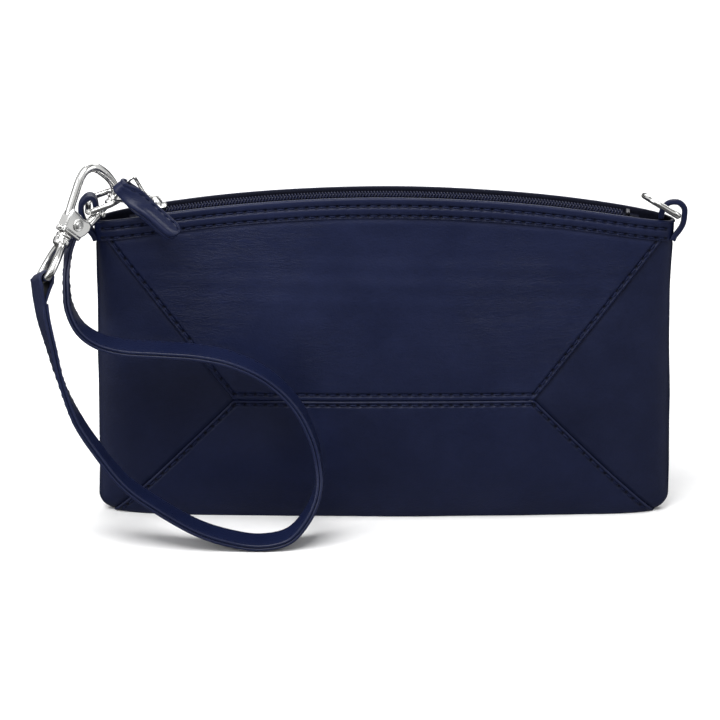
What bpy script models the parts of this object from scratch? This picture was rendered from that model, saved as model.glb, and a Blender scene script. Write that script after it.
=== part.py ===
"""Wristlet wallet: padded leather pouch with an arched zipped mouth, two side
D-rings and a doubled leather wrist strap with a swivel hook.

World frame: the front faces -Y, +X is to the right as seen from the front, +Z up.
Origin: centre of the flat base the pouch stands on. Driving dimensions in mm.
"""
import math
from collections import namedtuple

import bmesh
import bpy
from mathutils import Matrix, Vector

MM = 0.001
GAP = 0.3                    # clearance between neighbouring pieces
SMOOTH_ANGLE = 35.0          # edges sharper than this, in degrees, stay sharp
MERGE_DISTANCE = 0.0008      # vertices closer than this merge after a boolean
X_AXIS = Vector((1, 0, 0))
Y_AXIS = Vector((0, 1, 0))
Z_AXIS = Vector((0, 0, 1))

# ---- pouch ---------------------------------------------------------------
HALF_WIDTH = 98.3            # half of the width across the side seams
FLARE = 1.5                  # extra half width gained over FLARE_RISE
FLARE_START_Z = 60.0
FLARE_RISE = 50.0
CORNER = 6.0                 # bottom corner radius
ARC_R = 508.0                # radius of the arched zip line
TOP_Z = 116.0                # height of the zip line at the middle
ARC_Z0 = TOP_Z - ARC_R       # centre height of the zip arc
LEATHER = 1.3                # leather thickness
PANEL_FOOT_Z = 0.2           # lower edge of the panels
PANEL_DROP = 0.35            # how far the front's side panels lie below its face
BAND = 7.4                   # depth of the mouth band
BAND_THICKNESS = 1.5
BAND_PROUD = 0.3             # how far the mouth band stands out of the panels
EDGE_GAP = 0.65              # half the width of the open side seam
SIDE_FILL = 0.62             # depth near the sides as a fraction of the middle depth
SIDE_FILL_GAIN = 0.23        # added to SIDE_FILL between the two heights below
SIDE_FILL_Z = (80.0, 106.0)
ROUND_POWER = 12             # higher makes the rounding at the sides tighter
EDGE_STEPS = 5               # mesh steps in that rounding
# height, half thickness of the pouch on its middle line
STATIONS = ((0.0, 8.0), (6.0, 10.2), (18.0, 12.5), (38.0, 13.0), (58.0, 12.2),
            (80.0, 9.8), (100.0, 7.2), (118.0, 5.6))

# ---- rings and wrist strap -----------------------------------------------
STRAP_WIDTH = 12.5
STRAP_THICKNESS = 1.05
RING_WIRE_R = 1.05
RING_HALF = 7.6              # half width of the D-ring, wire centre
RING_LENGTH = 14.6           # centre of the straight bar to the top of the bow
LEFT_BAR = Vector((-101.9, 0.0, 110.9))      # centres of the D-rings' straight bars
RIGHT_BAR = Vector((101.2, 0.0, 107.2))
LEFT_RING_SLOPE = 21.0       # degrees above the horizontal
RIGHT_RING_SLOPE = 31.0
RIGHT_TIP = math.radians(20.0)       # the right ring and tab are tipped front edge up

# ---- materials -----------------------------------------------------------
NAVY = (0.0137, 0.0183, 0.0437)
NAVY_DARK = (0.010, 0.013, 0.030)
NAVY_LIGHT = (0.024, 0.030, 0.078)
NYLON = (0.006, 0.008, 0.018)
FABRIC = (0.012, 0.013, 0.020)
NICKEL = (0.82, 0.82, 0.80)

Finish = namedtuple("Finish", "colour roughness metallic", defaults=(0.0,))
SKIN = Finish(NAVY, roughness=0.42)
SUNK_SKIN = Finish(NAVY_DARK, roughness=0.42)
GUSSET = Finish(NAVY_DARK, roughness=0.5)
STRAP_LEATHER = Finish(NAVY, roughness=0.45)
PULL_LEATHER = Finish(NAVY_LIGHT, roughness=0.38)
LINING = Finish(FABRIC, roughness=0.85)
CARD_BACKING = Finish(FABRIC, roughness=0.8)
CARD_LEATHER = Finish(NAVY_DARK, roughness=0.8)
ZIP_TAPE = Finish(NYLON, roughness=0.8)
ZIP_COIL = Finish(NYLON, roughness=0.5)
POLISHED = Finish(NICKEL, roughness=0.12, metallic=1.0)
BRIGHT = Finish(NICKEL, roughness=0.16, metallic=1.0)
DULL = Finish(NICKEL, roughness=0.25, metallic=1.0)
SATIN = Finish(NICKEL, roughness=0.3, metallic=1.0)


def clear_scene():
    for ob in list(bpy.data.objects):
        bpy.data.objects.remove(ob, do_unlink=True)


clear_scene()
PARTS = bpy.data.collections.new("wristlet_wallet")
bpy.context.scene.collection.children.link(PARTS)


# ==========================================================================
# Objects and materials
# ==========================================================================
def material(name, finish):
    mat = bpy.data.materials.new("mat_" + name)
    mat.use_nodes = True
    bsdf = mat.node_tree.nodes["Principled BSDF"]
    bsdf.inputs["Base Color"].default_value = (*finish.colour, 1.0)
    bsdf.inputs["Roughness"].default_value = finish.roughness
    bsdf.inputs["Metallic"].default_value = finish.metallic
    mat.diffuse_color = (*finish.colour, 1.0)
    return mat


def publish(name, bm, finish, origin=(0.0, 0.0, 0.0)):
    """Turn a bmesh in world millimetres into one named object with its origin
    at `origin` (millimetres)."""
    origin = Vector(origin)
    bmesh.ops.translate(bm, verts=bm.verts, vec=-origin)
    bmesh.ops.scale(bm, verts=bm.verts, vec=(MM, MM, MM))
    mesh = bpy.data.meshes.new(name)
    bm.to_mesh(mesh)
    bm.free()
    mesh.shade_smooth()
    mesh.set_sharp_from_angle(angle=math.radians(SMOOTH_ANGLE))
    ob = bpy.data.objects.new(name, mesh)
    ob.location = origin * MM
    ob.data.materials.append(material(name, finish))
    PARTS.objects.link(ob)
    return ob


def solidify(ob, thickness):
    """Thicken a sheet on the side its normals point away from."""
    modifier = ob.modifiers.new("thickness", "SOLIDIFY")
    modifier.thickness = thickness * MM
    modifier.offset = -1.0
    modifier.use_rim = True
    modifier.use_even_offset = False


# ==========================================================================
# Paths and directions
# ==========================================================================
def square_to(vector, axis):
    """Unit vector of the part of vector that is square to the unit axis."""
    return (vector - vector.dot(axis) * axis).normalized()


def direction_at(path, i):
    return (path[min(i + 1, len(path) - 1)] - path[max(i - 1, 0)]).normalized()


def smooth_path(points, steps):
    """Catmull-Rom curve through the points."""
    points = [Vector(p) for p in points]
    last = len(points) - 1
    out = []
    for i in range(last):
        p0 = points[max(i - 1, 0)]
        p1, p2 = points[i], points[i + 1]
        p3 = points[min(i + 2, last)]
        for k in range(steps):
            t = k / steps
            out.append(0.5 * ((2 * p1) + (p2 - p0) * t
                              + (2 * p0 - 5 * p1 + 4 * p2 - p3) * t * t
                              + (3 * p1 - p0 - 3 * p2 + p3) * t**3))
    out.append(points[-1])
    return out


def resample(points, step):
    """Points at even distances along the polyline, close to step apart."""
    lengths = [0.0]
    for a, b in zip(points, points[1:]):
        lengths.append(lengths[-1] + (b - a).length)
    count = max(2, round(lengths[-1] / step))
    out = []
    j = 0
    for k in range(count + 1):
        distance = lengths[-1] * k / count
        while j < len(points) - 2 and lengths[j + 1] < distance:
            j += 1
        f = (distance - lengths[j]) / max(lengths[j + 1] - lengths[j], 1e-9)
        out.append(points[j].lerp(points[j + 1], min(max(f, 0.0), 1.0)))
    return out


# ==========================================================================
# Basic solids
# ==========================================================================
def outward(bm):
    bmesh.ops.recalc_face_normals(bm, faces=bm.faces)


def placed(bm, matrix):
    bmesh.ops.transform(bm, matrix=matrix, verts=bm.verts)
    return bm


def tube(points, radius, closed=False, res=2):
    """Round wire through the points."""
    curve = bpy.data.curves.new("wire", "CURVE")
    curve.dimensions = "3D"
    curve.bevel_depth = radius
    curve.bevel_resolution = res
    curve.use_fill_caps = True
    spline = curve.splines.new("POLY")
    spline.points.add(len(points) - 1)
    for spline_point, co in zip(spline.points, points):
        spline_point.co = (*co, 1.0)
    spline.use_cyclic_u = closed
    ob = bpy.data.objects.new("wire", curve)
    PARTS.objects.link(ob)
    depsgraph = bpy.context.evaluated_depsgraph_get()
    mesh = bpy.data.meshes.new_from_object(ob.evaluated_get(depsgraph))
    bm = bmesh.new()
    bm.from_mesh(mesh)
    bmesh.ops.remove_doubles(bm, verts=bm.verts, dist=0.001)
    outward(bm)
    bpy.data.objects.remove(ob, do_unlink=True)
    bpy.data.curves.remove(curve)
    bpy.data.meshes.remove(mesh)
    return bm


def ribbon(path, half_widths, normals, thickness):
    """Flat strip along path. half_widths are vectors across the strip, normals
    are unit thickness directions."""
    bm = bmesh.new()
    rings = []
    for p, w, normal in zip(path, half_widths, normals):
        h = normal * (thickness / 2)
        rings.append([bm.verts.new(p - w - h), bm.verts.new(p + w - h),
                      bm.verts.new(p + w + h), bm.verts.new(p - w + h)])
    bm.faces.new(rings[0])
    bm.faces.new(list(reversed(rings[-1])))
    for a, b in zip(rings, rings[1:]):
        for k in range(4):
            bm.faces.new((a[k], a[(k + 1) % 4], b[(k + 1) % 4], b[k]))
    outward(bm)
    return bm


def box(low, high):
    bm = bmesh.new()
    bmesh.ops.create_cube(bm, size=1.0)
    bmesh.ops.scale(bm, verts=bm.verts, vec=Vector(high) - Vector(low))
    bmesh.ops.translate(bm, verts=bm.verts, vec=(Vector(low) + Vector(high)) / 2)
    return bm


def rod(p, q, radius, seg=14):
    bm = bmesh.new()
    axis = q - p
    bmesh.ops.create_cone(bm, cap_ends=True, cap_tris=False, segments=seg,
                          radius1=radius, radius2=radius, depth=axis.length)
    turn = axis.to_track_quat("Z", "Y").to_matrix().to_4x4()
    return placed(bm, Matrix.Translation((p + q) / 2) @ turn)


def bevel(bm, edges, width, segments=1):
    bmesh.ops.bevel(bm, geom=edges, offset=width, segments=segments,
                    affect="EDGES", profile=0.5, clamp_overlap=True)
    outward(bm)


def bevelled(bm, width, segments=1):
    bevel(bm, list(bm.edges), width, segments)
    return bm


def plate(outline, thickness, frame, rim):
    """Flat plate centred on the plane of frame (origin, a, b, normal), with its
    outline along a and b and a chamfer of width rim round its faces."""
    origin, a, b, normal = frame
    bm = bmesh.new()
    verts = [bm.verts.new(origin + a * s + b * t - normal * (thickness / 2))
             for s, t in outline]
    face = bm.faces.new(verts)
    extruded = bmesh.ops.extrude_face_region(bm, geom=[face])["geom"]
    moved = [g for g in extruded if isinstance(g, bmesh.types.BMVert)]
    bmesh.ops.translate(bm, verts=moved, vec=normal * thickness)
    outward(bm)
    if rim:
        edges = [e for e in bm.edges
                 if abs((e.verts[0].co - e.verts[1].co).dot(normal)) < 1e-6]
        bevel(bm, edges, rim)
    return bm


def combine(parts, operation="UNION"):
    """Boolean of the first closed bmesh with each of the others in turn."""
    first = None
    for bm in parts:
        mesh = bpy.data.meshes.new("piece")
        bm.to_mesh(mesh)
        bm.free()
        ob = bpy.data.objects.new("piece", mesh)
        PARTS.objects.link(ob)
        if first is None:
            first = ob
            continue
        modifier = first.modifiers.new("combine", "BOOLEAN")
        modifier.operation = operation
        modifier.solver = "EXACT"
        modifier.object = ob
        depsgraph = bpy.context.evaluated_depsgraph_get()
        merged = bpy.data.meshes.new_from_object(first.evaluated_get(depsgraph))
        first.modifiers.clear()
        first.data = merged
        bpy.data.objects.remove(ob, do_unlink=True)
    out = bmesh.new()
    out.from_mesh(first.data)
    bpy.data.objects.remove(first, do_unlink=True)
    bmesh.ops.remove_doubles(out, verts=out.verts, dist=MERGE_DISTANCE)
    outward(out)
    return out


# ==========================================================================
# Pouch surface
# ==========================================================================
def half_depth(z):
    """Half thickness on the middle line: cubic Hermite through STATIONS."""
    z = min(max(z, STATIONS[0][0]), STATIONS[-1][0])
    last = len(STATIONS) - 1
    for i in range(last):
        z0, d0 = STATIONS[i]
        z1, d1 = STATIONS[i + 1]
        if z <= z1:
            before = STATIONS[max(i - 1, 0)]
            after = STATIONS[min(i + 2, last)]
            slope0 = (d1 - before[1]) / (z1 - before[0])
            slope1 = (after[1] - d0) / (after[0] - z0)
            h = z1 - z0
            t = (z - z0) / h
            return ((2 * t**3 - 3 * t**2 + 1) * d0
                    + (t**3 - 2 * t**2 + t) * h * slope0
                    + (-2 * t**3 + 3 * t**2) * d1
                    + (t**3 - t**2) * h * slope1)
    return STATIONS[-1][1]


def half_width(z):
    width = HALF_WIDTH
    if z > FLARE_START_Z:
        width += FLARE * ((z - FLARE_START_Z) / FLARE_RISE) ** 2
    if z < CORNER:
        width -= CORNER - math.sqrt(max(CORNER**2 - (CORNER - z) ** 2, 0.0))
    return width


def arc_z(x):
    """Height of the zip line."""
    return ARC_Z0 + math.sqrt(ARC_R**2 - x * x)


def side_rounding(t):
    """Factor that closes the surface at the sides, t = -1 and t = 1."""
    return math.sqrt(max(1.0 - abs(t) ** ROUND_POWER, 0.0))


def skin_y(t, z):
    """Half thickness at the fraction t of the half width."""
    z0, z1 = SIDE_FILL_Z
    middle = half_depth(z)
    side = middle * (SIDE_FILL + SIDE_FILL_GAIN * min(max((z - z0) / (z1 - z0), 0.0), 1.0))
    t = min(abs(t), 1.0)
    return (side + (middle - side) * (1.0 - t * t)) * side_rounding(t)


def side_fractions(cells):
    """Fractions across the width: even in the middle, closer at the round sides."""
    edge = [math.sin(math.radians(90.0 * (k + 1) / (EDGE_STEPS + 1))) ** (2 / ROUND_POWER)
            for k in range(EDGE_STEPS)] + [1.0]
    limit = edge[0]
    middle = [-limit + 2 * limit * k / cells for k in range(cells + 1)]
    return [-e for e in reversed(edge[1:])] + middle + edge[1:]


def skin_sheet(side, low, high, rows, cells=14, grow=0.0):
    """Open sheet on the pouch surface. side is -1 for the front, +1 for the
    back; low and high give its height limits as functions of x; grow moves it
    out of the surface."""
    fractions = side_fractions(cells)
    bm = bmesh.new()
    bmesh.ops.create_grid(bm, x_segments=len(fractions) - 1, y_segments=rows, size=1.0)
    for v in bm.verts:
        t = fractions[round((v.co.x + 1.0) / 2.0 * (len(fractions) - 1))]
        rise = (v.co.y + 1.0) / 2.0
        x = t * HALF_WIDTH
        z = low(x) + (high(x) - low(x)) * rise
        y = side * (skin_y(t, z) + grow * side_rounding(t) + EDGE_GAP)
        v.co = (t * (half_width(z) + grow), y, z)
    if side > 0:
        bmesh.ops.reverse_faces(bm, faces=bm.faces)
    return bm


def panel_low(x):
    return PANEL_FOOT_Z


def panel_high(x):
    return arc_z(x) - BAND - GAP


def band_low(x):
    return arc_z(x) - BAND


# ==========================================================================
# Pouch: four front panels, back, mouth bands, base
# ==========================================================================
# seam corners of the front, (x, z)
TOP_LEFT, TOP_RIGHT = (-97.0, 101.2), (97.0, 101.2)
MID_LEFT, MID_RIGHT = (-51.8, 44.1), (51.8, 44.1)
LOW_LEFT, LOW_RIGHT = (-92.4, 1.6), (92.4, 1.6)
MID_SEAM = (MID_LEFT, MID_RIGHT)
UPPER_LEFT_SEAM = (TOP_LEFT, MID_LEFT)
UPPER_RIGHT_SEAM = (TOP_RIGHT, MID_RIGHT)
LOWER_LEFT_SEAM = (LOW_LEFT, MID_LEFT)
LOWER_RIGHT_SEAM = (LOW_RIGHT, MID_RIGHT)

# name, seams that bound the panel, (x, z) of a point inside it, drop, finish
FRONT_PANELS = (
    ("front_upper_panel", (MID_SEAM, UPPER_LEFT_SEAM, UPPER_RIGHT_SEAM), (0, 80), 0.0, SKIN),
    ("front_lower_panel", (MID_SEAM, LOWER_LEFT_SEAM, LOWER_RIGHT_SEAM), (0, 20), 0.0, SKIN),
    ("front_left_panel", (UPPER_LEFT_SEAM, LOWER_LEFT_SEAM), (-90, 44), PANEL_DROP, SUNK_SKIN),
    ("front_right_panel", (UPPER_RIGHT_SEAM, LOWER_RIGHT_SEAM), (90, 44), PANEL_DROP,
     SUNK_SKIN),
)


def cut_at_seam(bm, seam, inside):
    """Cut GAP/2 away from the seam, square to the front, and keep the side on
    which the point inside lies."""
    p, q, inside = (Vector((x, 0.0, z)) for x, z in (*seam, inside))
    along = (q - p).normalized()
    normal = Vector((along.z, 0.0, -along.x))
    if normal.dot(inside - p) > 0:
        normal = -normal
    bmesh.ops.bisect_plane(bm, geom=list(bm.verts) + list(bm.edges) + list(bm.faces),
                           plane_co=p - normal * (GAP / 2), plane_no=normal,
                           dist=0.02, clear_outer=True)


def front_panels():
    for name, seams, inside, drop, finish in FRONT_PANELS:
        bm = skin_sheet(-1, panel_low, panel_high, rows=13, grow=-drop)
        for seam in seams:
            cut_at_seam(bm, seam, inside)
        solidify(publish(name, bm, finish), LEATHER)


def back_panel():
    bm = skin_sheet(1, panel_low, panel_high, rows=10, cells=10)
    solidify(publish("back_panel", bm, SKIN), LEATHER)


def mouth_bands():
    for name, side in (("front_mouth_band", -1), ("back_mouth_band", 1)):
        bm = skin_sheet(side, band_low, arc_z, rows=2, grow=BAND_PROUD)
        solidify(publish(name, bm, SKIN), BAND_THICKNESS)


def base_gusset():
    """Flat leather plate the pouch stands on."""
    thickness = 1.4
    points = 11              # outline points on each long side
    reach = 0.95             # fraction of the flat width it covers
    fractions = [-reach + 2 * reach * k / (points - 1) for k in range(points)]
    front = [(t * (HALF_WIDTH - CORNER), -(skin_y(t, 0.5) - LEATHER - PANEL_DROP))
             for t in fractions]
    outline = front + [(x, -y) for x, y in reversed(front)]
    frame = (Z_AXIS * (thickness / 2), X_AXIS, Y_AXIS, Z_AXIS)
    publish("base_gusset", plate(outline, thickness, frame, rim=0.3), GUSSET)


# ==========================================================================
# Inside: lining and card pocket
# ==========================================================================
LINING_DEPTH = LEATHER + PANEL_DROP + GAP + 0.6      # lining below the pouch surface
LINING_THICKNESS = 0.5
LINING_FOOT_Z = 2.8
LINING_CELLS = 8
LINING_CUTS = 9
LINING_SIDE_INSET = 1.4
LINING_FOOT_INSET = 4.5      # extra inset of the sides at the foot
LINING_TOP_DROP = 5.4        # rim below the zip line

CARD_THICKNESS = 0.5
CARD_PITCH = 0.9             # depth from one card layer to the next
CARD_DEPTH = LINING_DEPTH + 0.9 + GAP        # outermost layer below the surface
# name, half width, foot z, top z, finish; from the outermost layer inwards
CARD_LAYERS = (
    ("card_pocket_back", 48.0, 11.0, 78.0, CARD_BACKING),
    ("card_slot_upper", 46.5, 12.0, 70.0, CARD_LEATHER),
    ("card_slot_middle", 46.5, 12.0, 58.0, CARD_LEATHER),
    ("card_slot_lower", 46.5, 12.0, 46.0, CARD_LEATHER),
)


def lining_pouch():
    """Fabric pouch, open at the top: a cylinder moved onto the pouch's shape."""
    fractions = side_fractions(LINING_CELLS)
    half_turn = len(fractions) - 1
    segments = 2 * half_turn
    bm = bmesh.new()
    bmesh.ops.create_cone(bm, cap_ends=True, cap_tris=False, segments=segments,
                          radius1=1.0, radius2=1.0, depth=2.0)
    uprights = [e for e in bm.edges if abs(e.verts[0].co.z - e.verts[1].co.z) > 1.0]
    bmesh.ops.subdivide_edges(bm, edges=uprights, cuts=LINING_CUTS, use_grid_fill=True)
    lid = [f for f in bm.faces if f.normal.z > 0.9]
    bmesh.ops.delete(bm, geom=lid, context="FACES_ONLY")
    for v in bm.verts:
        angle = math.atan2(v.co.y, v.co.x) % (2 * math.pi)
        k = round(angle / (2 * math.pi) * segments) % segments
        back = k <= half_turn
        t = fractions[half_turn - k] if back else fractions[k - half_turn]
        rise = (v.co.z + 1.0) / 2.0
        width = half_width(max(LINING_FOOT_Z + 100.0 * rise, 8.0))
        width -= LINING_DEPTH + LINING_SIDE_INSET
        width -= LINING_FOOT_INSET * max(0.0, 1.0 - 14.0 * rise)
        z = LINING_FOOT_Z + (arc_z(t * width) - LINING_TOP_DROP - LINING_FOOT_Z) * rise
        middle = half_depth(z)
        y = skin_y(t, z) * (middle - LINING_DEPTH - 0.2) / middle
        v.co = (t * width, y if back else -y, z)
    solidify(publish("lining_pouch", bm, LINING), LINING_THICKNESS)


def card_pocket():
    """Stacked sheets that follow the inside of the back."""
    for layer, (name, half, foot, top, finish) in enumerate(CARD_LAYERS):
        bm = bmesh.new()
        bmesh.ops.create_grid(bm, x_segments=8, y_segments=5, size=1.0)
        for v in bm.verts:
            x = v.co.x * half
            z = foot + (top - foot) * (v.co.y + 1) / 2
            y = skin_y(x / half_width(z), z) - CARD_DEPTH - layer * CARD_PITCH
            v.co = (x, y, z)
        bmesh.ops.reverse_faces(bm, faces=bm.faces)
        solidify(publish(name, bm, finish), CARD_THICKNESS)


# ==========================================================================
# Zip: two tapes, two coil halves, stops, slider and pull
# ==========================================================================
DEG_PER_MM = math.degrees(1.0 / ARC_R)       # degrees of the zip arc per millimetre
ZIP_END = 85.0 * DEG_PER_MM
ZIP_STEPS = 22
TAPE_R = ARC_R - 1.7
COIL_SETBACK = 1.5 * DEG_PER_MM      # the coil ends short of the tape
STOP_SETBACK = 0.6 * DEG_PER_MM
SLIDER_ANGLE = -79.0 * DEG_PER_MM
# sections of one half of the zip: distance from the middle, height above TAPE_R
TAPE_SECTION = ((3.15, -3.0), (3.15, 0.0), (0.35, 0.0), (0.35, -0.45),
                (2.7, -0.45), (2.7, -3.0))
COIL_SECTION = ((0.15, 0.6), (0.5, 0.3), (2.1, 0.3), (2.6, 0.7),
                (2.4, 1.3), (1.9, 1.5), (0.5, 1.5), (0.15, 1.2))
# (x, z) of the wire arch on the slider, in the slider's frame
BAIL_ARCH = ((-2.1, 1.2), (-2.0, 3.0), (-1.3, 4.3), (0.0, 4.8), (1.3, 4.3),
             (2.0, 3.0), (2.1, 1.2))
BAIL_WIRE_R = 0.55


def arc_point(angle_deg, radius, y=0.0):
    angle = math.radians(angle_deg)
    return Vector((radius * math.sin(angle), y, ARC_Z0 + radius * math.cos(angle)))


def arc_matrix(angle_deg, radius):
    """Frame on the zip arc with x along the arc and z away from its centre."""
    turn = Matrix.Rotation(math.radians(angle_deg), 4, "Y")
    return Matrix.Translation(arc_point(angle_deg, radius)) @ turn


def zip_bar(name, side, section, end_angle, finish):
    """Sweep a section along the zip arc from -end_angle to end_angle."""
    bm = bmesh.new()
    verts = [bm.verts.new(arc_point(-end_angle, TAPE_R + r, side * y)) for y, r in section]
    face = bm.faces.new(verts)
    bmesh.ops.spin(bm, geom=[face] + list(face.edges) + verts, cent=(0, 0, ARC_Z0),
                   axis=(0, 1, 0), angle=math.radians(2 * end_angle), steps=ZIP_STEPS,
                   use_duplicate=False)
    bmesh.ops.remove_doubles(bm, verts=bm.verts, dist=0.0005)
    outward(bm)
    publish(name, bm, finish)


def zip_halves():
    for place, side in (("front", -1), ("back", 1)):
        zip_bar("zip_tape_" + place, side, TAPE_SECTION, ZIP_END, ZIP_TAPE)
    for place, side in (("front", -1), ("back", 1)):
        zip_bar("zip_coil_" + place, side, COIL_SECTION, ZIP_END - COIL_SETBACK, ZIP_COIL)


def zip_stops():
    for name, sign in (("zip_start_stop", -1), ("zip_end_stop", 1)):
        bm = bevelled(box((-0.7, -1.9, -0.6), (0.7, 1.9, 0.75)), 0.2)
        placed(bm, arc_matrix(sign * (ZIP_END - STOP_SETBACK), TAPE_R + 1.0))
        publish(name, bm, DULL)


SLIDER_MATRIX = arc_matrix(SLIDER_ANGLE, TAPE_R + 1.5)


def zip_slider():
    """Body over the coil with a small arch on top."""
    body = bevelled(box((-4.2, -3.2, 0.35), (4.2, 3.2, 1.55)), 0.45, segments=2)
    arch = smooth_path([(x, 0, z) for x, z in BAIL_ARCH], 2)
    slider = combine([body, tube(arch, BAIL_WIRE_R)])
    placed(slider, SLIDER_MATRIX)
    publish("zip_slider", slider, BRIGHT, origin=(0.0, 0.0, ARC_Z0))


PULL_WIRE_R = 0.65
PULL_NEAR_HALF = 3.1         # half width of the puller in the slider's arch
PULL_FAR_HALF = 5.3          # half width where the leather sits
PULL_CORNER = 1.3            # corner radius at the wide end
PULL_PIVOT = SLIDER_MATRIX @ Vector((-0.1, 0.0, 2.9))
PULL_FAR = Vector((-89.8, -9.0, 120.6))      # wide end of the puller
LEAF_END = Vector((-71.3, -15.6, 105.6))     # tip of the leather
HANG = (LEAF_END - PULL_FAR).normalized()
PULL_DIR = (PULL_FAR - PULL_PIVOT).normalized()
PULL_SIDE = PULL_DIR.cross(HANG).normalized()
if PULL_SIDE.z < 0:
    PULL_SIDE = -PULL_SIDE

LEAF_HALF_WIDTH = 3.7
LEAF_THICKNESS = 1.4
LEAF_TWIST = 58.0            # degrees the hanging leaf turns its face upwards
LEAF_STEPS = 9
FOLD_STEPS = 6


def zip_pull_link():
    """Wire loop: round and narrow in the slider's arch, square and wide at the
    far end."""
    near_side = square_to(Y_AXIS, PULL_DIR)
    points = []
    for sign in (-1, 1):
        for k in range(5):
            angle = math.radians(90.0 * k / 4)
            if sign > 0:
                angle = math.radians(90.0) - angle
            back = PULL_CORNER - PULL_CORNER * math.sin(angle)
            across = PULL_FAR_HALF - PULL_CORNER + PULL_CORNER * math.cos(angle)
            points.append(PULL_FAR - PULL_DIR * back + PULL_SIDE * (sign * across))
    for k in range(9):
        angle = math.pi * (k / 8) + math.pi / 2
        points.append(PULL_PIVOT + PULL_DIR * (PULL_NEAR_HALF * (math.cos(angle) + 1))
                      + near_side * (PULL_NEAR_HALF * math.sin(angle)))
    publish("zip_pull_link", tube(points, PULL_WIRE_R, closed=True), BRIGHT,
            origin=PULL_PIVOT)


def zip_pull_leather():
    """Leather strip folded over the far end of the puller, its two leaves
    hanging and twisting together."""
    fold_r = PULL_WIRE_R + 0.35 + LEAF_THICKNESS / 2
    closed_r = LEAF_THICKNESS / 2 + 0.12     # leaf's distance from the middle when closed
    length = (LEAF_END - PULL_FAR).length
    face_out = HANG.cross(PULL_SIDE).normalized()
    if face_out.y > 0:
        face_out = -face_out
    upwards = (Matrix.Rotation(0.5, 3, HANG) @ face_out).z > face_out.z
    turn = 1.0 if upwards else -1.0
    path, normals, half_widths = [], [], []

    def add_leaf(fractions, sign):
        """Add one leaf at fractions of the way from the fold to the tip."""
        for f in fractions:
            ease = min(f / 0.55, 1.0)
            angle = math.radians(LEAF_TWIST) * turn * (3 * ease**2 - 2 * ease**3)
            twist = Matrix.Rotation(angle, 3, HANG)
            face = twist @ face_out
            spread = fold_r - (fold_r - closed_r) * min(1.0, f * 2.4)
            taper = 0.7 if f == 1.0 else (0.93 if f > 0.9 else 1.0)
            path.append(PULL_FAR + HANG * (length * f) + face * (spread * sign))
            normals.append(face * sign)
            half_widths.append((twist @ PULL_SIDE) * LEAF_HALF_WIDTH * taper)

    fractions = [k / LEAF_STEPS for k in range(LEAF_STEPS)] + [0.95, 1.0]
    add_leaf(reversed(fractions), 1.0)
    for k in range(1, FOLD_STEPS):
        angle = math.pi * k / FOLD_STEPS
        normal = face_out * math.cos(angle) - HANG * math.sin(angle)
        path.append(PULL_FAR + normal * fold_r)
        normals.append(normal)
        half_widths.append(PULL_SIDE * LEAF_HALF_WIDTH)
    add_leaf(fractions, -1.0)
    publish("zip_pull_leather", ribbon(path, half_widths, normals, LEAF_THICKNESS),
            PULL_LEATHER, origin=PULL_FAR)


# ==========================================================================
# Side tabs and D-rings
# ==========================================================================
TAB_HALF = 2.5
TAB_THICKNESS = 1.2
RIGHT_TAB_WIDENING = 1.1     # half width the right tab gains along its first part
RING_CORNER = 1.6
BOW_ASPECT = 0.92            # height of the bow over its half width
# middle line of each tab, (x, z), from the pouch over the bar to the outer end
LEFT_TAB = ((-99.4, 107.2), (-99.2, 110.8), (-100.1, 113.8), (-102.0, 114.2),
            (-104.1, 111.8), (-104.3, 108.6), (-103.5, 105.6), (-102.6, 103.2),
            (-102.3, 100.8))
RIGHT_TAB = ((95.4, 106.2), (95.9, 109.4), (97.9, 111.9), (101.2, 112.2), (103.3, 110.2),
             (103.4, 107.2), (102.7, 104.3), (101.7, 102.0), (101.3, 99.6))


def tipped_across(tip):
    """Direction across a tab or ring, front to back, tipped front edge up."""
    return Vector((0.0, math.cos(tip), -math.sin(tip)))


def ring_tab(name, line, widening=0.0, tip=0.0):
    path = smooth_path([(x, 0.0, z) for x, z in line], 3)
    normals, half_widths = [], []
    for i in range(len(path)):
        along = direction_at(path, i)
        normals.append(Vector((-along.z, 0.0, along.x)))
        f = min(1.0, i / (len(path) * 0.35))
        half = TAB_HALF + widening * f * f * (3.0 - 2.0 * f)
        half_widths.append(tipped_across(tip) * half)
    publish(name, ribbon(path, half_widths, normals, TAB_THICKNESS), SKIN)


def d_ring(name, bar, slope, sign, tip=0.0):
    """D-ring with its straight bar across the tab and its bow up the slope."""
    rise = math.sin(math.radians(slope))
    up = Vector((sign * -math.cos(math.radians(slope)), rise * math.sin(tip),
                 rise * math.cos(tip)))
    across = tipped_across(tip)
    bow_height = RING_HALF * BOW_ASPECT
    bow_start = RING_LENGTH - RING_WIRE_R - bow_height

    def corner(k, side):
        angle = math.radians(90.0 * k / 3)
        return (bar + up * (RING_CORNER - RING_CORNER * math.cos(angle))
                + across * (side * (RING_HALF - RING_CORNER
                                    + RING_CORNER * math.sin(angle))))

    points = [corner(k, -1) for k in range(4)]
    for k in range(11):
        angle = math.pi * k / 10
        points.append(bar + up * (bow_start + bow_height * math.sin(angle))
                      - across * (RING_HALF * math.cos(angle)))
    points += [corner(3 - k, 1) for k in range(4)]
    publish(name, tube(points, RING_WIRE_R, closed=True), POLISHED, origin=bar)


# ==========================================================================
# Swivel hook
# ==========================================================================
HOOK_CENTRE = Vector((-105.7, -12.2, 108.0))
HOOK_UP = Vector((0.431, 0.499, 0.753)).normalized()             # up along the hook
HOOK_ACROSS = square_to(Vector((0.60, 0.465, -0.65)), HOOK_UP)   # towards the bolt
HOOK_NORMAL = HOOK_UP.cross(HOOK_ACROSS)     # towards the back of the hook
HOOK_SHIFT = -3.4            # place of t = 0 across from HOOK_CENTRE


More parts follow.
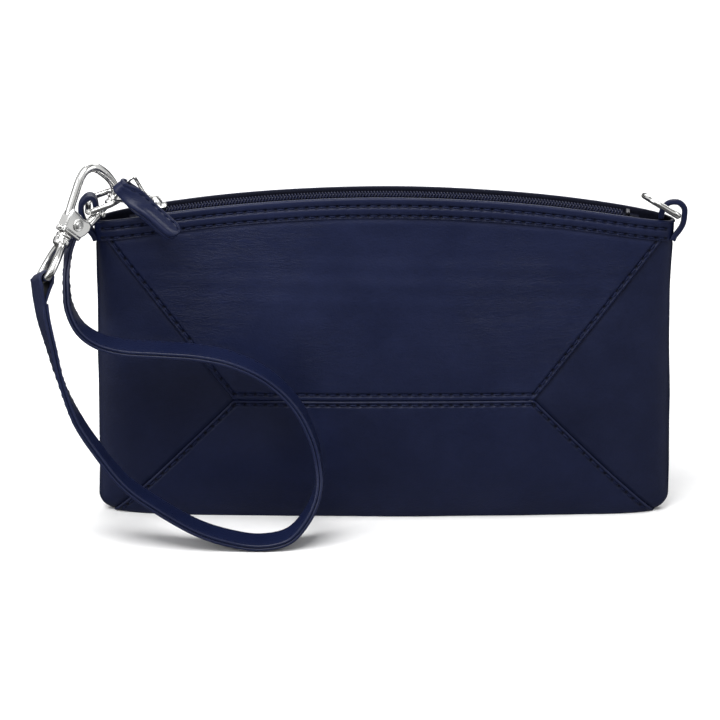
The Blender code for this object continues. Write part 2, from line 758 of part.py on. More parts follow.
def hook_point(s, t, depth=0.0):
    """Point in the hook's frame: s up, t across, depth along its normal."""
    return HOOK_CENTRE + HOOK_UP * s + HOOK_ACROSS * (t + HOOK_SHIFT) + HOOK_NORMAL * depth


HOOK_WIRE_R = 1.5
HOOK_BASE_THICKNESS = 4.2
HOOK_FOOT = -4.6             # s of the base's lower end
# wire of the hook in (s, t): spine, top, nose
HOOK_LOOP = ((-1.0, -0.9), (3.0, -2.4), (9.0, -3.7), (14.5, -4.6), (18.0, -3.9),
             (20.4, -1.2), (21.0, 3.0), (20.6, 7.4), (19.4, 10.8), (16.9, 12.9),
             (14.6, 12.8))
# outline of the hook's base plate in (s, t)
HOOK_BASE = ((HOOK_FOOT, -2.3), (HOOK_FOOT, 5.0), (-3.6, 5.8), (-1.6, 7.4), (0.6, 8.4),
             (2.6, 8.0), (3.2, 6.4), (3.0, 3.4), (3.6, 0.2), (3.6, -2.6),
             (0.5, -3.2), (-3.2, -2.9))

# The sliding bolt runs from its barrel on the base to the nose. Places along
# it are distances from BOLT_START.
BOLT_START = hook_point(0.2, 7.0)
BOLT_DIR = (hook_point(14.6, 12.5) - BOLT_START).normalized()
SLOT_SIDE = HOOK_NORMAL.cross(BOLT_DIR).normalized()
BOLT_R = 1.1
BOLT_SPAN = (5.8, 13.0)
BARREL_R = 1.8
BARREL_TOP = 7.6
BORE_R = 1.4
BORE_FLOOR = 0.6
SLOT_SPAN = (4.0, 8.2)
SLOT_HALF = 0.62
KNOB_AT = 8.5
SPRING_FOOT = 0.85
SPRING_LENGTH = 0.95
SPRING_R = 0.95
SPRING_WIRE_R = 0.11
SPRING_TURNS = 3.0
SPRING_STEPS = 24

# the swivel eye turns on a stem in the hook's foot
SWIVEL_T = 0.6               # t of the stem's axis
STEM_R = 1.1
SOCKET_R = 1.45
SHOULDER_R = 3.0
EYE_WIRE_R = 1.45
EYE_BAR_S = -22.8            # end bar that holds the strap
EYE_ACROSS = square_to(Y_AXIS, HOOK_UP)      # direction of that bar
# half of the eye's loop: s, distance from the stem's axis
EYE_HALF_LOOP = ((-8.6, 0.2), (-9.2, 2.4), (-11.5, 5.4), (-15.5, 8.0), (-20.0, 8.9),
                 (-22.3, 8.2), (EYE_BAR_S, 6.6), (EYE_BAR_S, 3.0))


def bolt_point(distance, depth=0.0):
    return BOLT_START + BOLT_DIR * distance + HOOK_NORMAL * depth


def swivel_point(s, across=0.0):
    return hook_point(s, SWIVEL_T) + EYE_ACROSS * across


def hook_body():
    frame = (hook_point(0, 0), HOOK_UP, HOOK_ACROSS, HOOK_NORMAL)
    loop = smooth_path([hook_point(s, t) for s, t in HOOK_LOOP], 3)
    hook = combine([plate(HOOK_BASE, HOOK_BASE_THICKNESS, frame, rim=0.4),
                    tube(loop, HOOK_WIRE_R),
                    rod(bolt_point(-1.2), bolt_point(BARREL_TOP), BARREL_R, seg=16)])
    bore = rod(bolt_point(BORE_FLOOR), bolt_point(BARREL_TOP + 1.0), BORE_R, seg=16)
    low, high = SLOT_SPAN
    knob_slot = plate([(low, -SLOT_HALF), (low, SLOT_HALF), (high, SLOT_HALF),
                       (high, -SLOT_HALF)], 2.4,
                      (bolt_point(0.0, -1.6), BOLT_DIR, SLOT_SIDE, HOOK_NORMAL), rim=0.0)
    stem_socket = rod(swivel_point(-6.0), swivel_point(-1.6), SOCKET_R)
    for cutter in (bore, knob_slot, stem_socket):
        hook = combine([hook, cutter], "DIFFERENCE")
    publish("hook_body", hook, POLISHED, origin=swivel_point(HOOK_FOOT))


def hook_bolt():
    """Sliding bolt that closes the hook, with its thumb knob."""
    low, high = BOLT_SPAN
    bolt = combine([rod(bolt_point(low), bolt_point(high), BOLT_R, seg=16),
                    rod(bolt_point(KNOB_AT), bolt_point(KNOB_AT, -2.7), 0.45, seg=12),
                    rod(bolt_point(KNOB_AT, -2.3), bolt_point(KNOB_AT, -3.1), 0.85)])
    publish("hook_bolt", bolt, POLISHED, origin=bolt_point(KNOB_AT))


def bolt_spring():
    """Short spring at the bottom of the barrel's bore."""
    points = []
    for k in range(SPRING_STEPS + 1):
        angle = 2 * math.pi * SPRING_TURNS * k / SPRING_STEPS
        points.append(bolt_point(SPRING_FOOT + SPRING_LENGTH * k / SPRING_STEPS)
                      + SLOT_SIDE * (SPRING_R * math.cos(angle))
                      + HOOK_NORMAL * (SPRING_R * math.sin(angle)))
    publish("bolt_spring", tube(points, SPRING_WIRE_R, res=1), SATIN,
            origin=bolt_point(SPRING_FOOT))


def hook_button():
    """Plain raised disc on the front face of the hook's base."""
    s, t = -0.2, 2.2
    disc = rod(hook_point(s, t, -2.4), hook_point(s, t, -3.0), 1.7, seg=16)
    publish("hook_button", bevelled(disc, 0.12), SATIN, origin=hook_point(s, t))


def swivel_eye():
    """Stem up into the hook, shoulder, and long loop with a straight end bar."""
    loop = smooth_path([swivel_point(s, -w) for s, w in EYE_HALF_LOOP]
                       + [swivel_point(EYE_BAR_S)]
                       + [swivel_point(s, w) for s, w in reversed(EYE_HALF_LOOP)], 2)
    shoulder = bevelled(rod(swivel_point(-9.6), swivel_point(-5.2), SHOULDER_R, seg=16),
                        0.35)
    stem = rod(swivel_point(-7.5), swivel_point(-2.2), STEM_R)
    eye = combine([shoulder, stem, tube(loop, EYE_WIRE_R)])
    publish("swivel_eye", eye, POLISHED, origin=swivel_point(EYE_BAR_S))


# ==========================================================================
# Wrist strap: two leather layers, the outer one wrapped round the eye bar
# ==========================================================================
STRAP_STEP = 4.0             # distance between the strap's cross sections
LAYER_GAP = 0.4
WRAP_CLEARANCE = 0.35        # between the eye bar and the leather round it
WRAP_STEPS = 8
# middle line of the doubled strap, from the swivel eye to the left tab
STRAP_PATH = ((-117.9, -25.2, 84.5), (-116.9, -26.3, 78.5), (-114.6, -27.8, 69.8),
              (-111.2, -29.3, 57.3), (-106.0, -31.0, 44.8), (-99.2, -33.0, 34.4),
              (-89.5, -35.0, 22.6), (-77.4, -36.5, 13.9), (-63.6, -38.0, 6.4),
              (-50.5, -38.0, 2.3), (-41.1, -38.0, 1.5), (-32.5, -37.0, 3.6),
              (-26.3, -35.0, 10.2), (-22.8, -32.0, 18.3), (-22.5, -29.0, 26.4),
              (-24.9, -27.0, 36.7), (-30.7, -25.0, 47.7), (-40.1, -23.5, 56.7),
              (-51.5, -22.5, 62.3), (-63.6, -22.0, 65.0), (-77.4, -22.0, 66.1),
              (-89.5, -22.0, 66.9), (-98.4, -21.5, 69.2), (-104.6, -20.2, 73.5),
              (-108.3, -17.2, 80.1), (-109.3, -12.8, 87.5), (-108.9, -7.5, 94.0),
              (-107.7, -3.2, 98.9), (-106.3, -1.0, 102.8))


def strap_frames():
    """Path of the strap with its half-width vectors and outward normals. The
    width turns from the eye bar's direction to Y over the first seventh."""
    path = resample(smooth_path(STRAP_PATH, 8), STRAP_STEP)
    half_widths, normals = [], []
    for i in range(len(path)):
        along = direction_at(path, i)
        f = min(1.0, i / (len(path) - 1) * 7.0)
        across = square_to(EYE_ACROSS.lerp(Y_AXIS, f), along)
        half_widths.append(across * (STRAP_WIDTH / 2))
        normals.append(across.cross(along).normalized())
    if normals[0].x >= 0:    # outward is to the left where the strap starts
        normals = [-normal for normal in normals]
    return path, half_widths, normals


def bar_wrap(path, normals):
    """Points and normals of the outer layer where it rounds the eye bar."""
    outside = square_to(normals[0], EYE_ACROSS)
    upwards = square_to(path[0] - path[1], EYE_ACROSS)
    upwards = square_to(upwards, outside)
    radius = EYE_WIRE_R + WRAP_CLEARANCE + STRAP_THICKNESS / 2
    points, wrap_normals = [], []
    for k in range(WRAP_STEPS + 1):
        angle = math.radians(-20.0 + 220.0 * k / WRAP_STEPS)
        normal = outside * math.cos(angle) + upwards * math.sin(angle)
        points.append(swivel_point(EYE_BAR_S) + normal * radius)
        wrap_normals.append(normal)
    return points, wrap_normals


def wrist_strap():
    path, half_widths, normals = strap_frames()
    wrap, wrap_normals = bar_wrap(path, normals)
    offset = (STRAP_THICKNESS + LAYER_GAP) / 2
    outer = [p + normal * offset for p, normal in zip(path, normals)]
    inner = [p - normal * offset for p, normal in zip(path, normals)]
    wrap_half_widths = [EYE_ACROSS * (STRAP_WIDTH / 2)] * len(wrap)
    origin = (LEFT_BAR.x, -RING_HALF, LEFT_BAR.z)
    # the outer layer runs from the tab to the eye and then round its bar
    publish("wrist_strap_outer",
            ribbon(outer[::-1] + wrap, half_widths[::-1] + wrap_half_widths,
                   normals[::-1] + wrap_normals, STRAP_THICKNESS),
            STRAP_LEATHER, origin=origin)
    publish("wrist_strap_inner",
            ribbon(inner, half_widths, [-normal for normal in normals], STRAP_THICKNESS),
            STRAP_LEATHER, origin=origin)


front_panels()
back_panel()
mouth_bands()
base_gusset()
lining_pouch()
card_pocket()
zip_halves()
zip_stops()
zip_slider()
zip_pull_link()
zip_pull_leather()
ring_tab("ring_tab_left", LEFT_TAB)
ring_tab("ring_tab_right", RIGHT_TAB, RIGHT_TAB_WIDENING, RIGHT_TIP)
d_ring("d_ring_left", LEFT_BAR, LEFT_RING_SLOPE, -1)
d_ring("d_ring_right", RIGHT_BAR, RIGHT_RING_SLOPE, 1, RIGHT_TIP)
hook_body()
hook_bolt()
bolt_spring()
hook_button()
swivel_eye()
wrist_strap()
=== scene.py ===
"""Navy leather wristlet: a slim zipped pouch with a wrist strap on a snap hook.

The pouch stands on the table (z = 0), its width along X and its front facing -Y.
The zip follows the arched top, its slider near the left (-X) end. A D-ring hangs
from each top corner, and the strap loops in front of the left side. Lengths are
in millimetres and become metres as each mesh is made.
"""
import math

import bmesh
import bpy
import numpy as np
from mathutils import Matrix, Vector


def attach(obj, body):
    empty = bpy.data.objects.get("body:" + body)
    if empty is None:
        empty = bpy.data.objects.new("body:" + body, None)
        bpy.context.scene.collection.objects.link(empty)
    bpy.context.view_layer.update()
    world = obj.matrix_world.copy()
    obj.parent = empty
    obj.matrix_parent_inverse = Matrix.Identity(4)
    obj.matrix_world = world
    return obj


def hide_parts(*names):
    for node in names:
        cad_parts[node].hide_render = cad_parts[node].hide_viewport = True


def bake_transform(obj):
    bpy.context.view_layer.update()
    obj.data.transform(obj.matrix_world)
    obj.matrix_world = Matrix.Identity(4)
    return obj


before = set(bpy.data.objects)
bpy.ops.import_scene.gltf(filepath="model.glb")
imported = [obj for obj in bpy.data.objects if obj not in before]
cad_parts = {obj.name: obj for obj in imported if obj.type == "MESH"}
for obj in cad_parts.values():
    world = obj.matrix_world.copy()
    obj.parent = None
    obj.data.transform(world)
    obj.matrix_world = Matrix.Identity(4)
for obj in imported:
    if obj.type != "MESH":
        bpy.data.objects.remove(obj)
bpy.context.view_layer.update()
MM = 0.001                                  # metres in a millimetre

# ---- dimensions of the pouch ----------------------------------------------
HALF_WIDTH, FLARE, CORNER = 98.3, 1.5, 6.0  # half width, widening at the top, foot radius
ARC_R, TOP_Z = 508.0, 116.0                 # arc of the mouth
ARC_Z0 = TOP_Z - ARC_R
BAND = 7.4                                  # height of the folded mouth band
SHELL_OUT = 0.30                            # reference surface outside the skin
# (height, half depth) of the pouch
STATIONS = ((0.0, 8.0), (6.0, 10.2), (18.0, 12.5), (38.0, 13.0), (58.0, 12.2),
            (80.0, 9.8), (100.0, 7.2), (118.0, 5.6))

# seam corners of the front, (x, z)
MID_RIGHT, TOP_RIGHT, LOW_RIGHT = (51.8, 44.1), (97.0, 101.2), (92.4, 1.6)
MID_LEFT, TOP_LEFT, LOW_LEFT = ((-x, z) for x, z in (MID_RIGHT, TOP_RIGHT, LOW_RIGHT))
SEAM_X, SEAM_Z = MID_RIGHT

PITCH = 3.55                                # stitch pitch
FIRST_STITCH = 3.4                          # from the corner to the first stitch
# insets of the stitch rows: slanted seams, above and below the level seam
SLANT_ROW, UPPER_ROW, LOWER_ROW = 1.45, 2.2, 1.55
MOUTH_ROWS = (2.9, 6.4)                     # stitch rows below the top arc


# ---- shader nodes -----------------------------------------------------------
class Nodes:
    """Adds and links the nodes of a tree; a value is a number or a socket."""

    def __init__(self, tree):
        self.tree = tree

    def put(self, socket, value):
        if isinstance(value, bpy.types.NodeSocket):
            self.tree.links.new(value, socket)
        else:
            socket.default_value = value

    def add(self, kind, inputs, **settings):
        node = self.tree.nodes.new("ShaderNode" + kind)
        for key, value in settings.items():
            setattr(node, key, value)
        for key, value in inputs.items():
            self.put(node.inputs[key], value)
        return node

    def ramp(self, factor, stops, interpolation="LINEAR"):
        """Colour ramp through (position, (r, g, b)) stops."""
        node = self.add("ValToRGB", {"Fac": factor})
        node.color_ramp.interpolation = interpolation
        elements = node.color_ramp.elements
        while len(elements) < len(stops):
            elements.new(0.5)
        for element, (position, colour) in zip(elements, stops):
            element.position = position
            element.color = (*colour, 1.0)
        return node.outputs["Color"]

    def remap(self, value, source, target, curve="LINEAR"):
        """Value mapped from the range source to the range target."""
        node = self.add("MapRange", {"Value": value, "From Min": source[0],
                                     "From Max": source[1], "To Min": target[0],
                                     "To Max": target[1]}, interpolation_type=curve)
        return node.outputs["Result"]


class Surface(Nodes):
    """Node tree of a new material with a Principled shader."""

    def __init__(self, name):
        self.material = bpy.data.materials.new(name)
        self.material.use_nodes = True
        super().__init__(self.material.node_tree)
        self.coords = self.add("TexCoord", {}).outputs["Object"]

    def mapping(self, scale):
        return self.add("Mapping", {"Scale": scale, "Vector": self.coords}).outputs["Vector"]

    def noise(self, scale, detail=3.0, rough=0.5, vector=None, distortion=0.0):
        return self.add("TexNoise", {"Scale": scale, "Detail": detail, "Roughness": rough,
                                     "Distortion": distortion,
                                     "Vector": vector or self.coords}).outputs["Fac"]

    def wave(self, direction, vector, **inputs):
        return self.add("TexWave", {"Vector": vector, **inputs}, wave_type="BANDS",
                        bands_direction=direction).outputs["Fac"]

    def math(self, operation, a, b=0.0):
        return self.add("Math", {0: a, 1: b, 2: 0.0}, operation=operation).outputs[0]

    def plus(self, a, b):
        return self.math("ADD", a, b)

    def minus(self, a, b):
        return self.math("SUBTRACT", a, b)

    def times(self, a, b):
        return self.math("MULTIPLY", a, b)

    def blend(self, a, share_a, b, share_b):
        return self.plus(self.times(a, share_a), self.times(b, share_b))

    def bell(self, square):
        """exp(-square)"""
        return self.math("POWER", 2.718, self.times(square, -1.0))

    def tint(self, base, colour, factor):
        return self.add("Mix", {0: factor, 6: base, 7: (*colour, 1.0)},
                        data_type="RGBA").outputs[2]

    def bump(self, height, strength, distance, normal=None):
        inputs = {"Strength": strength, "Distance": distance, "Height": height}
        if normal is not None:
            inputs["Normal"] = normal
        return self.add("Bump", inputs).outputs["Normal"]

    def finish(self, **values):
        """Sets shader inputs, with _ for a space, and returns the material."""
        for key, value in values.items():
            shader = self.tree.nodes["Principled BSDF"]
            self.put(shader.inputs[key.replace("_", " ")], value)
        return self.material


def shade(colour, factor):
    return tuple(channel * factor for channel in colour)


# ---- materials ----------------------------------------------------------------
def hole_mask(m, run, away, half_length=0.62, half_width=0.50):
    """1 in the dents between two stitches; run and away are in mm."""
    phase = m.math("FRACT", m.plus(m.times(run, 1.0 / PITCH), 100.0))
    a = m.times(m.minus(phase, 0.5), PITCH / half_length)
    b = m.times(away, 1.0 / half_width)
    return m.bell(m.plus(m.times(a, a), m.times(b, b)))


def groove_mask(m, away, half_width=0.62):
    b = m.times(away, 1.0 / half_width)
    return m.bell(m.times(b, b))


def stitch_dents(m, rows):
    """Masks of the holes and the groove under each stitch row.

    A row is ("line", start, end, inset, first stitch) in |x| and z,
    ("flat", z, half length) or ("arc", depth below the top arc).
    """
    axes = m.add("SeparateXYZ", {0: m.coords}).outputs
    x = m.times(axes[0], 1000.0)
    z = m.times(axes[2], 1000.0)
    x_abs = m.math("ABSOLUTE", x)
    holes = grooves = None
    for kind, *values in rows:
        if kind == "line":
            start, end, inset, first = values
            length = math.hypot(end[0] - start[0], end[1] - start[1])
            dir_x, dir_z = (end[0] - start[0]) / length, (end[1] - start[1]) / length
            rel_x = m.minus(x_abs, start[0])
            rel_z = m.minus(z, start[1])
            run = m.minus(m.blend(rel_x, dir_x, rel_z, dir_z), first)
            away = m.minus(m.blend(rel_x, -dir_z, rel_z, dir_x), inset)
            limit = m.times(m.math("GREATER_THAN", run, -PITCH * 0.6),
                            m.math("LESS_THAN", run, length - first - 1.0))
        elif kind == "flat":
            level, half = values
            run = x
            away = m.minus(z, level)
            limit = m.math("LESS_THAN", x_abs, half)
        else:
            rise = m.math("SQRT", m.minus(ARC_R * ARC_R, m.times(x, x)))
            top = m.plus(rise, ARC_Z0)
            run = m.times(m.math("ARCSINE", m.times(x, 1.0 / ARC_R)), ARC_R)
            away = m.minus(m.minus(top, z), values[0])
            limit = m.math("LESS_THAN", x_abs, 97.5)
        hole = m.times(hole_mask(m, run, away), limit)
        groove = m.times(groove_mask(m, away), limit)
        holes = hole if holes is None else m.math("MAXIMUM", holes, hole)
        grooves = groove if grooves is None else m.math("MAXIMUM", grooves, groove)
    return holes, grooves


def leather(name, colour, rough=0.44, grain=1.0, wrinkle=0.0, specular=0.17, rows=()):
    m = Surface(name)
    patch = m.noise(scale=38.0, detail=4.0, rough=0.55)
    fine = m.noise(scale=520.0, detail=3.0, rough=0.6)
    base = m.ramp(m.blend(patch, 0.7, fine, 0.3),
                  [(0.30, shade(colour, 0.78)), (0.52, colour), (0.74, shade(colour, 1.25))])
    # pebbled cells of the grain with finer pores on top
    cells = m.add("TexVoronoi", {"Scale": 1250.0, "Vector": m.mapping((1.0, 1.0, 1.35))},
                  feature="SMOOTH_F1").outputs["Distance"]
    pores = m.noise(scale=3400.0, detail=2.0, rough=0.6)
    normal = m.bump(m.blend(cells, 0.8, pores, 0.35), strength=0.40 * grain,
                    distance=0.00022)
    # soft creases that run across the skin
    streak = m.noise(scale=26.0, detail=6.0, rough=0.62, vector=m.mapping((1.0, 1.0, 7.5)),
                     distortion=0.6)
    normal = m.bump(streak, strength=0.08, distance=0.0011, normal=normal)
    if wrinkle:
        # fine wrinkles, broken up into patches
        folds = m.noise(scale=105.0, detail=5.0, rough=0.66,
                        vector=m.mapping((1.0, 1.0, 4.8)), distortion=1.6)
        line = m.remap(m.math("ABSOLUTE", m.minus(folds, 0.5)), (0.0, 0.10), (1.0, 0.0))
        where = m.remap(m.noise(scale=15.0, detail=3.0, rough=0.6), (0.46, 0.66), (0.0, 1.0))
        wrinkles = m.times(line, m.plus(m.times(where, 0.85), 0.08))
        normal = m.bump(m.times(wrinkles, -1.0), strength=0.50 * wrinkle,
                        distance=0.00028, normal=normal)
        # painted shade: the colour is darkened along the wrinkle lines, as the shade in the creases
        base = m.tint(base, shade(colour, 0.80), m.times(wrinkles, 0.14 * wrinkle))
    roughness = m.plus(m.remap(patch, (0.3, 0.75), (rough - 0.06, rough + 0.07)),
                       m.remap(cells, (0.0, 0.7), (0.03, -0.03)))
    if rows:
        holes, grooves = stitch_dents(m, rows)
        normal = m.bump(m.blend(holes, -1.0, grooves, -0.35), strength=0.9,
                        distance=0.0007, normal=normal)
        # painted shade: the stitch holes are made nearly black and the grooves darker, as the
        # shadows inside the dents
        base = m.tint(base, shade(colour, 0.16), m.times(holes, 0.82))
        base = m.tint(base, shade(colour, 0.45), m.times(grooves, 0.35))
        roughness = m.plus(roughness, m.times(holes, 0.4))
    return m.finish(Base_Color=base, Roughness=roughness, Normal=normal,
                    Specular_IOR_Level=specular, Coat_Weight=0.045, Coat_Roughness=0.30)


def thread(name, colour):
    m = Surface(name)
    twist = m.wave("DIAGONAL", m.coords, Scale=900.0, Distortion=1.0)
    base = m.ramp(twist, [(0.1, shade(colour, 0.7)), (0.9, shade(colour, 1.3))])
    return m.finish(Base_Color=base, Roughness=0.6, Specular_IOR_Level=0.15,
                    Normal=m.bump(twist, strength=0.5, distance=0.0001))


def woven(name, colour, scale, rough=0.85, contrast=0.5):
    m = Surface(name)
    warp, weft = (m.wave(axis, m.mapping((1, 1, 1)), Scale=scale, Distortion=0.6, Detail=1.0)
                  for axis in "XZ")
    fuzz = m.noise(scale=1800.0, detail=3.0, rough=0.7)
    cloth = m.blend(m.times(warp, weft), 0.7, fuzz, 0.3)
    base = m.ramp(cloth, [(0.1, shade(colour, 1.0 - contrast)),
                          (0.8, shade(colour, 1.0 + contrast))])
    return m.finish(Base_Color=base, Roughness=rough, Specular_IOR_Level=0.14,
                    Normal=m.bump(cloth, strength=0.6, distance=0.00025),
                    Sheen_Weight=0.01, Sheen_Roughness=0.5)


def nickel(name, colour=(0.80, 0.80, 0.79), rough=0.13, brushed=0.0):
    m = Surface(name)
    smear = m.noise(scale=160.0, detail=4.0, rough=0.6)
    hair = m.noise(scale=2600.0, detail=2.0, rough=0.5, vector=m.mapping((1.0, 0.25, 0.12)))
    roughness = m.plus(m.remap(smear, (0.3, 0.7), (rough - 0.03, rough + 0.07)),
                       m.remap(hair, (0.55, 0.8), (0.0, 0.10 + brushed)))
    base = m.ramp(smear, [(0.25, shade(colour, 0.90)), (0.7, colour)])
    return m.finish(Base_Color=base, Metallic=1.0, Roughness=roughness,
                    Normal=m.bump(m.blend(smear, 0.6, hair, 0.4),
                                  strength=0.06 + brushed, distance=0.00012))


def nylon(name, colour):
    m = Surface(name)
    mottle = m.noise(scale=900.0, detail=3.0, rough=0.6)
    base = m.ramp(mottle, [(0.3, shade(colour, 0.7)), (0.7, shade(colour, 1.5))])
    return m.finish(Base_Color=base, Roughness=m.remap(mottle, (0.3, 0.7), (0.42, 0.6)),
                    Specular_IOR_Level=0.14,
                    Normal=m.bump(mottle, strength=0.2, distance=0.0001))


NAVY = (0.0057, 0.0092, 0.0345)
BACK_LEATHER = leather("navy_leather", NAVY, wrinkle=0.5)
UPPER_LEATHER = leather("navy_leather_upper", NAVY, wrinkle=1.0, rows=(
    ("line", MID_RIGHT, TOP_RIGHT, SLANT_ROW, FIRST_STITCH),
    ("flat", SEAM_Z + UPPER_ROW, SEAM_X - 0.5)))
# painted shade: the lower panel is coloured darker than the upper one, as the shade towards the
# bottom
LOWER_LEATHER = leather("navy_leather_lower", shade(NAVY, 0.93), wrinkle=0.25, rows=(
    ("line", MID_RIGHT, LOW_RIGHT, -SLANT_ROW, FIRST_STITCH),
    ("flat", SEAM_Z - LOWER_ROW, SEAM_X + 0.5)))
# painted shade: the side panels are coloured darker, as the shade where the pouch turns away at its
# ends
SIDE_LEATHER = leather("navy_leather_side", shade(NAVY, 0.86), rough=0.5, wrinkle=0.2)
BAND_LEATHER = leather("navy_leather_band", NAVY, rough=0.45, grain=0.8,
                       rows=[("arc", depth) for depth in MOUTH_ROWS])
TAB_LEATHER = leather("navy_leather_tab", NAVY, rough=0.42, grain=0.7)
# painted shade: the base is coloured darker, as the shade underneath the pouch
BASE_LEATHER = leather("navy_leather_base", shade(NAVY, 0.75), rough=0.55)
STRAP_LEATHER = leather("navy_strap_leather", shade(NAVY, 1.05), rough=0.36, grain=0.9,
                        specular=0.30)
PULL_LEATHER = leather("navy_pull_leather", shade(NAVY, 1.05), rough=0.42, grain=0.7,
                       specular=0.22)
CARD_LEATHER = leather("card_slot_leather", shade(NAVY, 0.8), rough=0.5, grain=0.6)
THREAD = thread("navy_thread", shade(NAVY, 0.95))
TAPE = woven("zip_tape_weave", (0.0036, 0.0048, 0.0160), scale=560.0)
COIL = nylon("zip_coil_nylon", (0.0048, 0.0068, 0.0250))
LINING = woven("lining_weave", (0.0055, 0.0060, 0.010), scale=420.0, rough=0.8)
FACING = woven("black_facing", (0.0034, 0.0044, 0.0140), scale=700.0, rough=0.8)
NICKEL = nickel("bright_nickel")
SOFT_NICKEL = nickel("soft_nickel", rough=0.28, brushed=0.05)
DARK_NICKEL = nickel("dark_nickel", colour=(0.06, 0.06, 0.07), rough=0.38)
SPRING_WIRE = nickel("spring_wire", colour=(0.55, 0.55, 0.56), rough=0.3, brushed=0.08)


# ---- surface of the pouch -------------------------------------------------------
def ease(t):
    """Smooth step from 0 to 1."""
    return t * t * (3 - 2 * t)


def half_depth(z):
    """Cubic curve through STATIONS."""
    heights, depths = np.array(STATIONS).T
    z = np.clip(np.asarray(z, float), heights[0], heights[-1])
    last = len(heights) - 1
    i = np.clip(np.searchsorted(heights, z, side="left") - 1, 0, last - 1)
    z0, z1, depth0, depth1 = heights[i], heights[i + 1], depths[i], depths[i + 1]
    below, above = np.maximum(i - 1, 0), np.minimum(i + 2, last)
    slope0 = (depth1 - depths[below]) / (z1 - heights[below])
    slope1 = (depths[above] - depth0) / (heights[above] - z0)
    step = z1 - z0
    t = (z - z0) / step
    return ((2 * t**3 - 3 * t**2 + 1) * depth0 + (t**3 - 2 * t**2 + t) * step * slope0
            + (-2 * t**3 + 3 * t**2) * depth1 + (t**3 - t**2) * step * slope1)


def half_width(z):
    z = np.asarray(z, float)
    flared = HALF_WIDTH + FLARE * (np.maximum(z - 60, 0) / 50) ** 2
    drop = CORNER - np.minimum(z, CORNER)
    return flared - (CORNER - np.sqrt(np.maximum(CORNER**2 - drop**2, 0)))


def arc_z(x):
    return ARC_Z0 + np.sqrt(ARC_R**2 - np.asarray(x, float) ** 2)


def skin_y(t, z):
    """Half depth at the share t of the half width."""
    mid = half_depth(z)
    side = mid * (0.62 + 0.23 * np.clip((z - 80.0) / 26.0, 0, 1))
    t = np.minimum(np.abs(t), 1.0)
    return (side + (mid - side) * (1 - t * t)) * np.sqrt(np.maximum(1 - t**12, 0))


def ripple(x, z):
    """Soft waves of hand-sewn leather, well under a millimetre."""
    return (0.16 * np.sin(x * 0.083 + 0.7) * np.sin(z * 0.071 + 1.9)
            + 0.10 * np.sin(x * 0.161 + z * 0.093 + 0.4)
            + 0.06 * np.sin(x * 0.047 - z * 0.232 + 2.2)
            + 0.035 * np.sin(x * 0.31 + 1.1) * np.sin(z * 0.43 + 0.3))


def slant_dist(x, z, corner):
    """Distance from the slanted seams between the middle corners and corner."""
    dx, dz = corner[0] - SEAM_X, corner[1] - SEAM_Z
    return np.abs((np.abs(x) - SEAM_X) * dz - (z - SEAM_Z) * dx) / math.hypot(dx, dz)


def segment_dist(x, z, start, end):
    """Distance in the (x, z) plane from the segment start-end."""
    run = np.array([end[0] - start[0], end[1] - start[1]], float)
    t = ((x - start[0]) * run[0] + (z - start[1]) * run[1]) / (run @ run)
    t = np.clip(t, 0, 1)
    return np.hypot(x - start[0] - t * run[0], z - start[1] - t * run[1])


def line_x(z):
    """Half distance between the slanted seams at the height z."""
    z = np.asarray(z, float)
    upper = SEAM_X + (z - SEAM_Z) * (TOP_RIGHT[0] - SEAM_X) / (TOP_RIGHT[1] - SEAM_Z)
    lower = SEAM_X + (SEAM_Z - z) * (LOW_RIGHT[0] - SEAM_X) / (SEAM_Z - LOW_RIGHT[1])
    return np.where(z >= SEAM_Z, upper, lower)


def shell_points(x, z, side, offset):
    """Points and normals of the pouch at (x, z), pushed out by offset.

    side is -1 on the front and 1 on the back.
    """
    def place(share, height):
        return np.stack([share * half_width(height),
                         side * (skin_y(share, height) + SHELL_OUT), height], -1)

    t = np.clip(x / half_width(z), -1, 1)
    across = place(np.clip(t + 0.0015, -1, 1), z) - place(np.clip(t - 0.0015, -1, 1), z)
    upward = place(t, z + 0.02) - place(t, z - 0.02)
    normal = np.cross(across, upward) if side < 0 else np.cross(upward, across)
    normal = normal / np.maximum(np.linalg.norm(normal, axis=-1, keepdims=True), 1e-9)
    edge = np.abs(t) > 0.9985
    normal[edge] = np.sign(t[edge])[:, None] * np.array([1.0, 0.0, 0.0])
    return place(t, z) + normal * offset[..., None], normal


# ---- mesh helpers -----------------------------------------------------------------
def new_object(name, data):
    ob = bpy.data.objects.new(name, data)
    bpy.context.scene.collection.objects.link(ob)
    return ob


def grid_mesh(name, points, mat, flip=False, close_columns=False):
    """Sheet from a (rows, columns, 3) array of points."""
    rows, cols = points.shape[:2]
    faces = []
    for r in range(rows - 1):
        for c in range(cols - (0 if close_columns else 1)):
            a, b = r * cols + c, r * cols + (c + 1) % cols
            face = (a, b, b + cols, a + cols)
            faces.append((a, a + cols, b + cols, b) if flip else face)
    mesh = bpy.data.meshes.new(name)
    mesh.from_pydata((points.reshape(-1, 3) * MM).tolist(), [], faces)
    mesh.update()
    mesh.shade_smooth()
    mesh.materials.append(mat)
    return new_object(name, mesh)


def apply_modifiers(ob):
    graph = bpy.context.evaluated_depsgraph_get()
    mesh = bpy.data.meshes.new_from_object(ob.evaluated_get(graph))
    ob.modifiers.clear()
    ob.data = mesh


def thicken(ob, thickness):
    """Gives an open sheet its thickness."""
    solidify = ob.modifiers.new("solidify", "SOLIDIFY")
    solidify.thickness = thickness * MM
    solidify.offset = -1.0
    solidify.use_even_offset = False
    apply_modifiers(ob)
    ob.data.shade_smooth()
    ob.data.set_sharp_from_angle(angle=math.radians(50))
    return ob


def put(ob, body, slot, *nodes):
    """Attaches the object to the body it rides on and hides the parts it replaces; slot is not used.
    """
    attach(ob, body)
    if nodes:
        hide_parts(*nodes)


